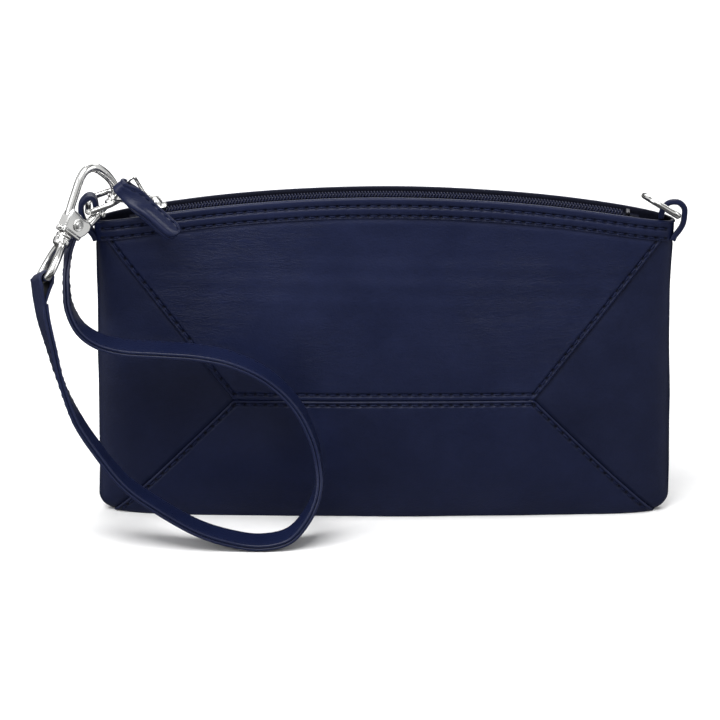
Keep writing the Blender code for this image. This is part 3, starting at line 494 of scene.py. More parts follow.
# distances from a seam at which the panels have mesh lines
NEAR = np.array([0.0, 0.12, 0.3, 0.55, 0.85, 1.2, 1.6, 1.95, 2.2, 2.4, 2.6, 2.85, 3.2, 3.8,
                 4.8, 6.4])
NEAR_SIDE = np.array([0.0, 0.25, 0.6, 1.1, 1.8, 2.8, 4.2])


def spaced(total, count, near):
    """Distances from 0 to total: near at both ends, count even steps between."""
    inner = np.linspace(near[-1], total - near[-1], count + 2)[1:-1]
    return np.concatenate([near, inner, total - near[::-1]])


def side_params(middle, edge_steps=16):
    """Shares of the half width from -1 to 1, closer where the side turns round."""
    edge = np.sin(np.linspace(0, math.pi / 2, edge_steps + 1)[1:]) ** (1 / 6)
    return np.concatenate([-edge[1:][::-1], np.linspace(-edge[0], edge[0], middle), edge[1:]])


# ---- padding of the front -----------------------------------------------------------
def cloth_run(step=2.8, cap=1.25):
    """Blows up a sheet held along every seam; returns (xs, zs, relief up to cap)."""
    xs = np.arange(-101.0, 101.1, step)
    zs = np.arange(0.0, 113.0, step)
    x, z = np.meshgrid(xs, zs)
    ob = grid_mesh("cloth_sheet", np.stack([x, 0.0 * x, z], -1), BACK_LEATHER)
    rim = [arc_z(x) - BAND - z, half_width(z) - np.abs(x), z]
    seams = [(TOP_LEFT, MID_LEFT), (TOP_RIGHT, MID_RIGHT), (LOW_LEFT, MID_LEFT),
             (LOW_RIGHT, MID_RIGHT), (MID_LEFT, MID_RIGHT)]
    near = np.minimum.reduce([segment_dist(x, z, *seam) for seam in seams] + rim)
    hold = ob.vertex_groups.new(name="hold")
    hold.add([int(i) for i in np.flatnonzero((near < step * 0.75).ravel())], 1.0, "REPLACE")
    cloth = ob.modifiers.new("cloth", "CLOTH")
    tuning = cloth.settings
    tuning.quality = 6
    tuning.mass = 0.15
    tuning.vertex_group_mass = "hold"
    tuning.tension_stiffness = tuning.compression_stiffness = 14.0
    tuning.shear_stiffness = 6.0
    tuning.bending_stiffness = 0.25
    tuning.shrink_min = -0.012                  # a little spare leather to crease
    tuning.use_pressure = True
    tuning.uniform_pressure_force = 4.0
    tuning.effector_weights.gravity = 0.0
    cloth.collision_settings.use_collision = False
    cloth.point_cache.frame_start, cloth.point_cache.frame_end = 1, 20
    scene = bpy.context.scene
    for frame in range(1, 21):
        scene.frame_set(frame)
    apply_modifiers(ob)
    mesh = ob.data
    y = np.array([v.co.y for v in mesh.vertices]).reshape(x.shape) / MM
    bpy.data.objects.remove(ob, do_unlink=True)
    bpy.data.meshes.remove(mesh)
    scene.frame_set(1)
    relief = np.clip(np.nan_to_num(np.abs(y)), 0.0, 12.0)
    relief = relief * min(1.0, cap / max(float(np.percentile(relief, 99)), 1e-6))
    return xs, zs, np.clip(relief, 0.0, cap * 1.15)


RELIEF = cloth_run()


def spline_weights(t):
    """Cubic B-spline weights of the four neighbours."""
    return ((1 - t) ** 3 / 6, (3 * t**3 - 6 * t**2 + 4) / 6,
            (-3 * t**3 + 3 * t**2 + 3 * t + 1) / 6, t**3 / 6)


def puff_at(x, z):
    """Relief of the cloth at (x, z); 0 when the cloth run is skipped."""
    if RELIEF is None:
        return 0.0 * x
    xs, zs, relief = RELIEF
    col = np.clip((x - xs[0]) / (xs[1] - xs[0]), 0, len(xs) - 1.001)
    row = np.clip((z - zs[0]) / (zs[1] - zs[0]), 0, len(zs) - 1.001)
    i, j = col.astype(int), row.astype(int)
    padded = np.pad(relief, 1, mode="edge")
    col_weights, row_weights = spline_weights(col - i), spline_weights(row - j)
    return sum(row_weights[b] * col_weights[a] * padded[j + b, i + a]
               for b in range(4) for a in range(4))


def pillow(dist, amount, reach=16.0):
    """Padding that swells away from the seams."""
    share = 1.0 if RELIEF is None else 0.45
    return share * amount * (1 - np.exp(-np.maximum(dist, 0) / reach))


def turned_edge(dist, row):
    """Relief of a turned edge, stitched at the distance row from it."""
    lip = np.where(dist < 0.8,
                   -0.62 * (1 - np.sqrt(np.clip(1 - (1 - dist / 0.8) ** 2, 0, 1))), 0.0)
    dip = -0.30 * np.exp(-((dist - row) / 0.50) ** 2)
    puff = 0.20 * np.exp(-((dist - row * 0.5) / (row * 0.42)) ** 2)
    return lip + dip + puff


def upper_field(x, z):
    slant, level = slant_dist(x, z, TOP_RIGHT), np.abs(z - SEAM_Z)
    top = arc_z(x) - BAND - z
    offset = (0.30 + turned_edge(slant, SLANT_ROW) + turned_edge(level, UPPER_ROW)
              + ripple(x, z) + puff_at(x, z)
              + pillow(np.minimum(np.minimum(slant, level), top + 4), 0.7))
    # gentle drape folds under the mouth
    offset += 0.10 * np.exp(-((z - 86) / 11.0) ** 2) * np.sin(z * 0.9 + 0.02 * x)
    return offset - 0.35 * np.exp(-(top / 1.2) ** 2)


def lower_field(x, z):
    slant, level = slant_dist(x, z, LOW_RIGHT), np.abs(z - SEAM_Z)
    return (0.30 + turned_edge(slant, SLANT_ROW) + turned_edge(level, LOWER_ROW)
            + ripple(x, z) + puff_at(x, z)
            + pillow(np.minimum(np.minimum(slant, level), z + 2), 0.5))


def side_field(x, z):
    slant = np.minimum(slant_dist(x, z, TOP_RIGHT), slant_dist(x, z, LOW_RIGHT))
    return (-0.25 - 0.35 * np.exp(-(slant / 0.8) ** 2) + ripple(x, z) + puff_at(x, z)
            + pillow(slant, 0.55, reach=14))


# ---- panels ---------------------------------------------------------------------------
LIFT = 0.02                                 # lowest point of a panel over the table


def make_upper():
    height = arc_z(0) - BAND - SEAM_Z
    rows = []
    for share in spaced(height, 46, NEAR) / height:
        limit = line_x(SEAM_Z + share * (arc_z(60) - BAND - SEAM_Z))
        # steps stay absolute near the seams and stretch in the middle
        across = (spaced(2 * limit, 90, NEAR * 1.28) - limit) / limit
        x = across * limit
        for _ in range(4):                  # settle x and z on arc and seam together
            z = SEAM_Z + 0.05 + share * (arc_z(x) - BAND + 0.5 - SEAM_Z)
            x = across * (line_x(z) - 0.05)
        rows.append((x, z))
    x, z = np.array(rows).transpose(1, 0, 2)
    points, _ = shell_points(x, z, -1, upper_field(x, z))
    ob = thicken(grid_mesh("upper_panel_leather", points, UPPER_LEATHER), 1.2)
    put(ob, "pouch", "navy_leather", "front_upper_panel")


def make_lower():
    rows = []
    for height in spaced(SEAM_Z - 0.2, 24, NEAR) + 0.15:
        limit = min(float(line_x(height)) - 0.05, float(half_width(height)) * 0.999)
        x = spaced(2 * limit, 108, NEAR * 1.38) - limit
        rows.append((x, np.full_like(x, height)))
    x, z = np.array(rows).transpose(1, 0, 2)
    points, _ = shell_points(x, z, -1, lower_field(x, z))
    points[..., 2] = np.maximum(points[..., 2], LIFT)
    ob = thicken(grid_mesh("lower_panel_leather", points, LOWER_LEATHER), 1.2)
    put(ob, "pouch", "navy_leather", "front_lower_panel")


def make_side(sign, tag):
    foot = 1.7
    heights = np.concatenate([
        [0.35, 0.8, 1.25], spaced(SEAM_Z - foot, 26, NEAR_SIDE) + foot,
        SEAM_Z + spaced(TOP_RIGHT[1] - 0.6 - SEAM_Z, 40, NEAR_SIDE)[1:]])
    rows = []
    for height in heights:
        width = float(half_width(height))
        start = min(float(line_x(max(height, LOW_RIGHT[1]))) + 0.05, width - 0.6)
        # even steps, then closer where the panel turns round the side
        edge = np.sin(np.linspace(0, math.pi / 2, 22)) ** (1 / 6) * width
        edge = edge[edge > max(start + 0.3, width * 0.80)]
        flat = np.linspace(start, edge[0], 60 - len(edge), endpoint=False)
        x = sign * np.concatenate([flat, edge])
        rows.append((x, np.full_like(x, height)))
    x, z = np.array(rows).transpose(1, 0, 2)
    points, _ = shell_points(x, z, -1, side_field(x, z))
    ob = grid_mesh(tag + "_panel_leather", points, SIDE_LEATHER, flip=(sign < 0))
    put(thicken(ob, 1.1), "pouch", "navy_leather", "front_%s_panel" % tag)


def make_back():
    heights = np.concatenate([np.linspace(0, 0.08, 12), np.linspace(0.08, 0.96, 60)[1:],
                              np.linspace(0.96, 1.0, 10)[1:]])
    across, upward = np.meshgrid(side_params(120), heights)
    z = 0.2 + (arc_z(across * HALF_WIDTH) - BAND - 0.05 - 0.2) * upward
    x = across * half_width(z)
    top = arc_z(x) - BAND - z
    edge = (1 - np.abs(across)) * 98
    offset = (0.2 + ripple(x + 31, z + 12) - 0.35 * np.exp(-(top / 1.2) ** 2)
              + pillow(np.minimum(np.minimum(z + 2, top + 4), edge + 8), 0.8))
    points, _ = shell_points(x, z, 1, offset)
    points[..., 2] = np.maximum(points[..., 2], LIFT)
    ob = thicken(grid_mesh("back_panel_leather", points, BACK_LEATHER, flip=True), 1.2)
    put(ob, "pouch", "navy_leather", "back_panel")


# ---- mouth bands: leather folded over the top, two stitched rows ---------------------
BAND_OUTER = 51                             # profile points on the outer face
BAND_END = 0.42                             # height of the band where it meets the side


def band_fade(t):
    """1 over the face, 0 where the band turns round the side."""
    return ease(np.clip((0.995 - np.abs(t)) / 0.045, 0, 1))


def band_profile():
    """(down from the fold, out from the skin) of the folded leather."""
    profile = []
    for down in np.concatenate([np.linspace(BAND, 6.9, 5), np.linspace(6.8, 0.9, 46)]):
        out = 0.62
        out += 0.30 * math.exp(-((down - 4.6) / 1.35) ** 2)     # raised between the rows
        for row in MOUTH_ROWS:
            out -= 0.42 * math.exp(-((down - row) / 0.42) ** 2)
        out += 0.18 * math.exp(-((down - 1.2) / 0.9) ** 2)
        if down > 6.9:                                          # rounded lower edge
            out -= 0.5 * (1 - math.sqrt(max(0.0, 1 - ((down - 6.9) / 0.5) ** 2)))
        profile.append((down, out))
    top_out, radius = out, 0.95
    for k in range(1, 12):
        angle = math.pi * k / 12
        profile.append((0.9 - radius * math.sin(angle) * 0.95,
                        top_out - radius + radius * math.cos(angle)))
    for down in np.linspace(0.95, 7.6, 22):
        profile.append((down, top_out - 2 * radius - 0.02 * down))
    return np.array(profile)


def make_band(side, tag):
    profile = band_profile()
    down, across = np.meshgrid(profile[:, 0], side_params(150, 20))
    out = np.broadcast_to(profile[:, 1], down.shape)
    z = arc_z(across * (HALF_WIDTH + 1.3)) - down
    x = across * half_width(z)
    fade = band_fade(across)
    # the outer face is drawn in to the side seam at both ends
    outer = np.arange(len(profile)) < BAND_OUTER
    out = np.where(outer, fade * out + (1 - fade) * BAND_END, out)
    out = out + 0.07 * np.sin(x * 0.11 + side) * np.exp(-np.abs(down) / 9) * fade
    points, _ = shell_points(x, z, side, out)
    ob = grid_mesh(tag + "_band_leather", points, BAND_LEATHER, flip=(side < 0))
    # close the profile: bridge the last column to the first, cap the ends
    rows, cols = points.shape[:2]
    bm = bmesh.new()
    bm.from_mesh(ob.data)
    bm.verts.ensure_lookup_table()
    faces = [(r * cols + cols - 1, (r + 1) * cols + cols - 1, (r + 1) * cols, r * cols)
             for r in range(rows - 1)]
    faces += [range(cols), [(rows - 1) * cols + i for i in reversed(range(cols))]]
    for face in faces:
        bm.faces.new([bm.verts[i] for i in face])
    bmesh.ops.recalc_face_normals(bm, faces=bm.faces)
    bm.to_mesh(ob.data)
    bm.free()
    # facing cloth from just past the fold down the inner side
    ob.data.materials.append(FACING)
    first_facing = BAND_OUTER + (6 if side > 0 else 10)
    for face in ob.data.polygons:
        if len(face.vertices) == 4 and min(v % cols for v in face.vertices) >= first_facing:
            face.material_index = 1
    ob.data.shade_smooth()
    ob.data.set_sharp_from_angle(angle=math.radians(60))
    put(ob, "pouch", "navy_leather", tag + "_mouth_band")


# ---- stitches --------------------------------------------------------------------------
def stitch_mesh(name, centres, directions, normals, body, slot, mat=THREAD, length=2.7,
                radius=0.30, lift=0.20, sink=0.30):
    """A row of stitches in one object, each a small bowed capsule."""
    stations = np.array([0.0, 0.06, 0.18, 0.38, 0.62, 0.82, 0.94, 1.0])
    sides = 8
    radii = radius * np.sqrt(np.clip(1 - (2 * stations - 1) ** 6, 0.02, 1))
    bow = (np.sin(stations * math.pi) ** 0.7) * (lift + sink) - sink
    verts, faces = [], []
    for centre, direction, normal in zip(centres, directions, normals):
        across = np.cross(direction, normal)
        across = across / np.linalg.norm(across)
        outward = np.cross(across, direction)
        base = len(verts)
        for share, ring_radius, height in zip(stations, radii, bow):
            middle = centre + direction * (share - 0.5) * length + outward * height
            for k in range(sides):
                angle = 2 * math.pi * k / sides
                verts.append(middle + across * math.cos(angle) * ring_radius
                             + outward * math.sin(angle) * ring_radius * 0.85)
        for i in range(len(stations) - 1):
            for k in range(sides):
                a = base + i * sides + k
                b = base + i * sides + (k + 1) % sides
                faces.append((a, b, b + sides, a + sides))
        faces.append(tuple(base + k for k in reversed(range(sides))))
        faces.append(tuple(base + (len(stations) - 1) * sides + k for k in range(sides)))
    mesh = bpy.data.meshes.new(name)
    mesh.from_pydata((np.array(verts) * MM).tolist(), [], faces)
    bm = bmesh.new()
    bm.from_mesh(mesh)
    bmesh.ops.recalc_face_normals(bm, faces=bm.faces)
    bm.to_mesh(mesh)
    bm.free()
    mesh.shade_smooth()
    mesh.materials.append(mat)
    put(new_object(name, mesh), body, slot)


def along(points, normals, pitch):
    """Centres, directions and normals every pitch along a dense polyline."""
    points, normals = np.asarray(points, float), np.asarray(normals, float)
    lengths = np.linalg.norm(np.diff(points, axis=0), axis=1)
    run = np.concatenate([[0], np.cumsum(lengths)])
    at = np.arange(pitch / 2, run[-1] - pitch * 0.35, pitch)

    def sample(values, where):
        return np.stack([np.interp(where, run, values[:, i]) for i in range(3)], -1)

    def unit(vectors):
        return vectors / np.linalg.norm(vectors, axis=1, keepdims=True)

    return (sample(points, at), unit(sample(points, at + 0.4) - sample(points, at - 0.4)),
            unit(sample(normals, at)))


def shell_row(name, curve, stations, height, side=-1):
    """Stitches on the pouch at the stations s of curve(s) -> (x, z)."""
    def at(s):
        x, z = curve(s)
        return shell_points(x, z, side, height(x, z) + 0.10)

    centres, normals = at(stations)
    run = at(stations + 0.5)[0] - at(stations - 0.5)[0]
    directions = run / np.linalg.norm(run, axis=1, keepdims=True)
    stitch_mesh(name, centres, directions, normals, "pouch", "navy_leather", length=2.75)


def seam_row(name, start, end, field, inset, end_gap):
    """Stitches along the line start-end, moved by inset to the left of its run."""
    start, end = np.array(start), np.array(end)
    length = np.linalg.norm(end - start)
    run = (end - start) / length
    origin = start + np.array([-run[1], run[0]]) * inset
    shell_row(name, lambda s: (origin[0] + run[0] * s, origin[1] + run[1] * s),
              np.arange(FIRST_STITCH, length - end_gap, PITCH), field)


def centred_stations(half):
    count = int(half / PITCH)
    return np.arange(-count, count + 1) * PITCH


def flat_row(name, z, half, field):
    shell_row(name, lambda s: (s, np.full_like(s, z)), centred_stations(half), field)


def band_row(name, depth, side):
    down, out = band_profile()[:BAND_OUTER][::-1].T
    height = float(np.interp(depth, down, out))
    shell_row(name,
              lambda s: (ARC_R * np.sin(s / ARC_R),
                         ARC_Z0 + ARC_R * np.cos(s / ARC_R) - depth),
              centred_stations(97.0),
              lambda x, z: band_fade(x / half_width(z)) * (height - BAND_END) + BAND_END,
              side)


# ---- sweeps ----------------------------------------------------------------------------
def smooth_path(points, steps):
    """Catmull-Rom curve through points."""
    points = [Vector(p) for p in points]
    out = []
    for i in range(len(points) - 1):
        p0, p1, p2 = points[max(i - 1, 0)], points[i], points[i + 1]
        p3 = points[min(i + 2, len(points) - 1)]
        for k in range(steps):
            t = k / steps
            out.append(0.5 * ((2 * p1) + (p2 - p0) * t
                              + (2 * p0 - 5 * p1 + 4 * p2 - p3) * t * t
                              + (3 * p1 - p0 - 3 * p2 + p3) * t**3))
    out.append(points[-1])
    return out


def resample(points, step):
    """The polyline in even steps of about step."""
    run = [0.0]
    for a, b in zip(points, points[1:]):
        run.append(run[-1] + (b - a).length)
    count = max(2, round(run[-1] / step))
    out, j = [], 0
    for k in range(count + 1):
        at = run[-1] * k / count
        while j < len(points) - 2 and run[j + 1] < at:
            j += 1
        share = (at - run[j]) / max(run[j + 1] - run[j], 1e-9)
        out.append(points[j].lerp(points[j + 1], min(max(share, 0.0), 1.0)))
    return out


def square_to(vector, axis):
    """Unit vector of the part of vector at right angles to axis."""
    return (vector - vector.dot(axis) * axis).normalized()


def tangent(path, i):
    return (path[min(i + 1, len(path) - 1)] - path[max(i - 1, 0)]).normalized()


def from_bm(name, bm, mat, sharp=40):
    """Object from a bmesh in millimetres; edges over sharp degrees stay hard."""
    bmesh.ops.recalc_face_normals(bm, faces=bm.faces)
    bmesh.ops.scale(bm, verts=bm.verts, vec=(MM, MM, MM))
    mesh = bpy.data.meshes.new(name)
    bm.to_mesh(mesh)
    bm.free()
    mesh.shade_smooth()
    mesh.set_sharp_from_angle(angle=math.radians(sharp))
    mesh.materials.append(mat)
    return new_object(name, mesh)


def loft_bm(rings, closed=False):
    """Skin through rings of points, capped unless the loft is closed."""
    bm = bmesh.new()
    rings = [[bm.verts.new(p) for p in ring] for ring in rings]
    count = len(rings[0])
    for a, b in zip(rings, rings[1:] + (rings[:1] if closed else [])):
        for k in range(count):
            j = (k + 1) % count
            bm.faces.new((a[k], a[j], b[j], b[k]))
    if not closed:
        bm.faces.new(rings[0])
        bm.faces.new(list(reversed(rings[-1])))
    return bm


def section(centre, side, up, profile, scale=1.0):
    """The (a, b) profile as points round centre."""
    return [centre + side * (a * scale) + up * (b * scale) for a, b in profile]


def parallel_frames(path, start=None, closed=False):
    """(side, up) at each point, turning as little as possible along the path."""
    count = len(path)
    if closed:
        tangents = [(path[(i + 1) % count] - path[i - 1]).normalized() for i in range(count)]
    else:
        tangents = [tangent(path, i) for i in range(count)]
    side = start or Vector((0.0, 0.0, 1.0)).cross(tangents[0])
    if side.length < 1e-4:
        side = Vector((1.0, 0.0, 0.0)).cross(tangents[0])
    frames = []
    for forward in tangents:
        side = square_to(side, forward)
        frames.append((side, forward.cross(side)))
    if closed:
        # spread the twist that is left over the loop
        first, forward = frames[0][0], tangents[0]
        last = square_to(side, forward)
        angle = math.atan2(last.cross(first).dot(forward), last.dot(first))
        for i in range(count):
            side = Matrix.Rotation(angle * i / count, 3, tangents[i]) @ frames[i][0]
            frames[i] = (side, tangents[i].cross(side))
    return frames


def wire_bm(path, radius, closed=False, seg=16, start=None, scales=None):
    """Round wire along path, with rounded ends when it is open."""
    circle = [(radius * math.cos(2 * math.pi * k / seg), radius * math.sin(2 * math.pi * k / seg))
              for k in range(seg)]
    frames = parallel_frames(path, start, closed)
    scales = scales or [1.0] * len(path)
    if not closed:
        angles = [math.radians(a) for a in (12, 35, 60)]
        ends = [math.sin(a) for a in angles]
        back, ahead = (path[1] - path[0]).normalized(), (path[-1] - path[-2]).normalized()
        head = [path[0] - back * radius * math.cos(a) for a in angles]
        tail = [path[-1] + ahead * radius * math.cos(a) for a in reversed(angles)]
        scales = ends + scales + ends[::-1]
        path = head + list(path) + tail
        frames = [frames[0]] * 3 + frames + [frames[-1]] * 3
    return loft_bm([section(p, side, up, circle, scale)
                    for p, (side, up), scale in zip(path, frames, scales)], closed)


def wire(name, path, radius, body, *nodes, closed=False, seg=16, mat=NICKEL, slot="nickel",
         sharp=60):
    put(from_bm(name, wire_bm(path, radius, closed, seg), mat, sharp), body, slot, *nodes)


def round_rect(half_w, half_t, radius, seg, crown):
    """Rounded strip section: flats domed by crown, with a groove along each edge."""
    corners = []
    for centre_x, centre_y, turn in ((half_w - radius, half_t - radius, 0),
                                     (-half_w + radius, half_t - radius, 90),
                                     (-half_w + radius, -half_t + radius, 180),
                                     (half_w - radius, -half_t + radius, 270)):
        for k in range(seg + 1):
            angle = math.radians(turn + 90 * k / seg)
            corners.append((centre_x + radius * math.cos(angle),
                            centre_y + radius * math.sin(angle)))
    out = []
    for here, ahead in zip(corners, corners[1:] + corners[:1]):
        out.append(here)
        if abs(here[0] - ahead[0]) > 2.0 * radius:      # long flat side
            for k in range(1, 16):
                x = here[0] + (ahead[0] - here[0]) * k / 16
                groove = -0.10 * math.exp(-((half_w - abs(x) - 1.5) / 0.35) ** 2)
                rise = crown * (1 - (x / half_w) ** 2) + groove
                out.append((x, here[1] + math.copysign(1, here[1]) * rise))
    return out


# ---- pouch ------------------------------------------------------------------------------
make_upper()
make_lower()
make_side(-1, "left")
make_side(1, "right")
make_back()
make_band(-1, "front")
make_band(1, "back")

seam_row("stitch_upper_left", MID_LEFT, TOP_LEFT, upper_field, -SLANT_ROW, end_gap=4.0)
seam_row("stitch_upper_right", MID_RIGHT, TOP_RIGHT, upper_field, SLANT_ROW, end_gap=4.0)
flat_row("stitch_upper_low", SEAM_Z + UPPER_ROW, SEAM_X - 2.0, upper_field)
flat_row("stitch_lower_top", SEAM_Z - LOWER_ROW, SEAM_X - 0.4, lower_field)
seam_row("stitch_lower_left", MID_LEFT, LOW_LEFT, lower_field, SLANT_ROW, end_gap=1.5)
seam_row("stitch_lower_right", MID_RIGHT, LOW_RIGHT, lower_field, -SLANT_ROW, end_gap=1.5)
for band_side, band_tag in ((-1, "front"), (1, "back")):
    for number, row_depth in enumerate(MOUTH_ROWS, 1):
        band_row("stitch_%s_band_%d" % (band_tag, number), row_depth, band_side)


def make_base():
    """Flat leather under the pouch, inside its walls."""
    wall = 1.3 + 0.35                           # wall and clearance
    across = np.linspace(-0.95, 0.95, 60)
    x = across * (HALF_WIDTH - CORNER)
    y = skin_y(across, 0.5) - wall
    rows = [np.stack([x, share * y, 0.0 * x], -1) for share in np.linspace(-1, 1, 17)]
    ob = thicken(grid_mesh("base_leather", np.array(rows), BASE_LEATHER, flip=True), 1.4)
    rounding = ob.modifiers.new("b", "BEVEL")
    rounding.width = 0.35 * MM
    rounding.segments = 3
    rounding.limit_method = "ANGLE"
    put(ob, "pouch", "base_leather", "base_gusset")


def side_cord(sign, tag):
    """Seam cord that closes an end between the front and the back."""
    inset = 1.15
    path = [Vector((sign * (HALF_WIDTH - CORNER - inset + CORNER * math.sin(a) * 0.9), 0.0,
                    0.9 + CORNER * (1 - math.cos(a)) * 0.4))
            for a in np.linspace(0, math.pi / 2, 10)[:-1]]
    for z in np.linspace(3.0, 103.5, 70):
        x = float(half_width(z)) - inset + 0.05 * math.sin(z * 1.7)
        path.append(Vector((sign * x, 0.0, z)))
    wire("side_seam_" + tag, resample(path, 1.2), 0.85, "pouch", seg=10, mat=SIDE_LEATHER,
         slot="navy_leather")


make_base()
side_cord(-1, "left")
side_cord(1, "right")

# ---- lining and card pocket -------------------------------------------------------------
LINING_INSET = 1.3 + 0.35 + 0.3 + 0.6           # from the skin to the lining


def make_lining():
    """Closed sleeve of cloth with a flat floor."""
    params = side_params(60, 12)
    across = np.concatenate([params, params[::-1][1:-1]])
    faces_back = np.concatenate([-np.ones(len(params)), np.ones(len(params) - 2)])
    floor_z = 3.0
    rows = []
    for up in np.linspace(0, 1, 40):
        width = (half_width(max(floor_z + 100 * up, 8.0)) - LINING_INSET - 1.6
                 - 4.5 * max(0, 1 - 14 * up))
        x = across * width
        z = floor_z + (arc_z(x) - 5.6 - floor_z) * up
        y = skin_y(across, z) * (half_depth(z) - LINING_INSET - 0.3) / half_depth(z)
        y = y + 0.12 * np.sin(x * 0.35 + z * 0.12) * np.sin(z * 0.2) * (np.abs(across) < 0.9)
        rows.append(np.stack([x, faces_back * np.maximum(y, 0.0), z], -1))
    ob = grid_mesh("lining_fabric_pouch", np.array(rows), LINING, close_columns=True)
    bm = bmesh.new()
    bm.from_mesh(ob.data)
    bm.verts.ensure_lookup_table()
    bm.faces.new([bm.verts[i] for i in reversed(range(len(across)))])
    bmesh.ops.recalc_face_normals(bm, faces=bm.faces)
    bm.to_mesh(ob.data)
    bm.free()
    put(thicken(ob, 0.45), "pouch", "lining_fabric", "lining_pouch")


def card_sheet(name, half, bottom, top, layer, mat, node, slot):
    """Upright sheet inside the back wall, layer counted inwards from the backing."""
    depth = LINING_INSET + 0.9 + 0.3 + 0.9 * layer
    heights = np.concatenate([np.linspace(bottom, top - 3, 30),
                              np.linspace(top - 2.7, top, 8)])
    x, z = np.meshgrid(np.linspace(-half, half, 60), heights)
    y = skin_y(x / half_width(z), z) - depth + 0.05 * np.sin(x * 0.2) * np.sin(z * 0.15)
    ob = grid_mesh(name, np.stack([x, y, z], -1), mat, flip=True)
    put(thicken(ob, 0.5), "pouch", slot, node)


make_lining()
card_sheet("card_backing_fabric", 48.0, 11.0, 78.0, 0, LINING, "card_pocket_back",
           "lining_fabric")
for layer, (slot_tag, slot_top) in enumerate(
        (("upper", 70.0), ("middle", 58.0), ("lower", 46.0)), 1):
    card_sheet("card_slot_%s_leather" % slot_tag, 46.5, 12.0, slot_top, layer, CARD_LEATHER,
               "card_slot_" + slot_tag, "slot_leather")

# ---- zip ----------------------------------------------------------------------------------
TAPE_R = ARC_R - 1.7                        # arc of the tapes
ZIP_END = 85.0                              # arc length from the middle to each end


def arc_point(run, y, rise):
    """Point at the arc length run from the middle, rise above the tape arc."""
    angle = run / ARC_R
    radius = TAPE_R + rise
    return Vector((radius * math.sin(angle), y, ARC_Z0 + radius * math.cos(angle)))


def arc_matrix(run, rise):
    """Frame standing on the arc: X along the zip, Z out of it."""
    return (Matrix.Translation(arc_point(run, 0.0, rise))
            @ Matrix.Rotation(run / ARC_R, 4, "Y"))


def mouth_inner(run):
    """Inner half opening of the mouth at the arc length run."""
    x = ARC_R * math.sin(run / ARC_R)
    z = float(arc_z(x)) - 2.0
    return float(skin_y(x / float(half_width(z)), z)) + SHELL_OUT - 1.25


def make_tape(side, tag):
    rows = []
    for run in np.linspace(-ZIP_END - 3.5, ZIP_END + 3.5, 220):
        wall = mouth_inner(run) - 0.15
        # (y, rise): up the wall, then sagging to the coil
        section_points = [(wall, -6.0), (wall + 0.02, -4.0), (wall, -1.6),
                          (wall - 0.2, -0.7), (wall - 0.7, -0.2)]
        for share in np.linspace(0, 1, 8)[1:]:
            section_points.append((wall - 0.7 + (0.45 - wall + 0.7) * share,
                                   -0.2 + 0.2 * share - 0.25 * math.sin(share * math.pi)))
        rows.append([tuple(arc_point(run, side * y, rise)) for y, rise in section_points])
    ob = grid_mesh("zip_tape_weave_" + tag, np.array(rows), TAPE, flip=(side < 0))
    put(thicken(ob, 0.45), "pouch", "zip_fabric", "zip_tape_" + tag)


def make_coil(side, tag):
    """Nylon helix of flattened turns along the tape edge."""
    pitch, per_turn, first = 1.05, 10, -ZIP_END + 1.6
    turns = int(2 * (ZIP_END - 1.6) / pitch)
    path = []
    for k in range(turns * per_turn + 1):
        angle = 2 * math.pi * k / per_turn
        run = first + pitch * k / per_turn + (0 if side > 0 else pitch / 2)
        path.append(arc_point(run, side * (1.15 + 1.10 * math.cos(angle)),
                              0.80 + 0.45 * math.sin(angle)))
    wire("zip_coil_turns_" + tag, path, 0.27, "pouch", "zip_coil_" + tag, seg=6, mat=COIL,
         slot="zip_nylon", sharp=70)


def tape_stitches(side, tag):
    """Row that holds a tape to its wall."""
    runs = np.linspace(-80, 80, 200)
    line = [tuple(arc_point(run, side * (mouth_inner(run) - 0.55), -0.9)) for run in runs]
    normals = [(0.0, -side * 0.8, 0.6)] * len(line)
    stitch_mesh("stitch_tape_" + tag, *along(line, normals, 3.7), "pouch", "zip_fabric", TAPE,
                radius=0.22)


make_tape(-1, "front")
make_tape(1, "back")
make_coil(-1, "front")
make_coil(1, "back")
tape_stitches(1, "back")
tape_stitches(-1, "front")


# ---- solid pieces -----------------------------------------------------------------------
def turned_bm(profile, seg, origin, direction):
    """Turned piece from (radius, height) pairs, standing on origin along direction."""
    bm = bmesh.new()
    rings = []
    for radius, height in profile:
        rings.append([bm.verts.new((radius * math.cos(2 * math.pi * k / seg),
                                    radius * math.sin(2 * math.pi * k / seg), height))
                      for k in range(seg if radius else 1)])
    for a, b in zip(rings, rings[1:]):
        for k in range(seg):
            j = (k + 1) % seg
            corners = (a[k % len(a)], a[j % len(a)], b[j % len(b)], b[k % len(b)])
            bm.faces.new(tuple(dict.fromkeys(corners)))     # triangles at the axis
    turn = direction.to_track_quat("Z", "Y").to_matrix().to_4x4()
    return transform(bm, Matrix.Translation(origin) @ turn)


def rod_bm(start, end, radius, seg, cap):
    """Round rod with its ends rounded off by cap."""
    length = (end - start).length
    foot = [(0, 0), (radius - cap, 0), (radius - cap * 0.3, cap * 0.3), (radius, cap)]
    head = [(r, length - height) for r, height in reversed(foot)]
    return turned_bm(foot + head, seg, start, end - start)


def transform(bm, matrix):
    bmesh.ops.transform(bm, matrix=matrix, verts=bm.verts)
    return bm


def bevel(bm, edges, offset, segments):
    bmesh.ops.bevel(bm, geom=edges, offset=offset, segments=segments, affect="EDGES",
                    profile=0.5, clamp_overlap=True)


def merge(*parts):
    out = bmesh.new()
    for part in parts:
        mesh = bpy.data.meshes.new("part")
        part.to_mesh(mesh)
        part.free()
        out.from_mesh(mesh)
        bpy.data.meshes.remove(mesh)
    return out


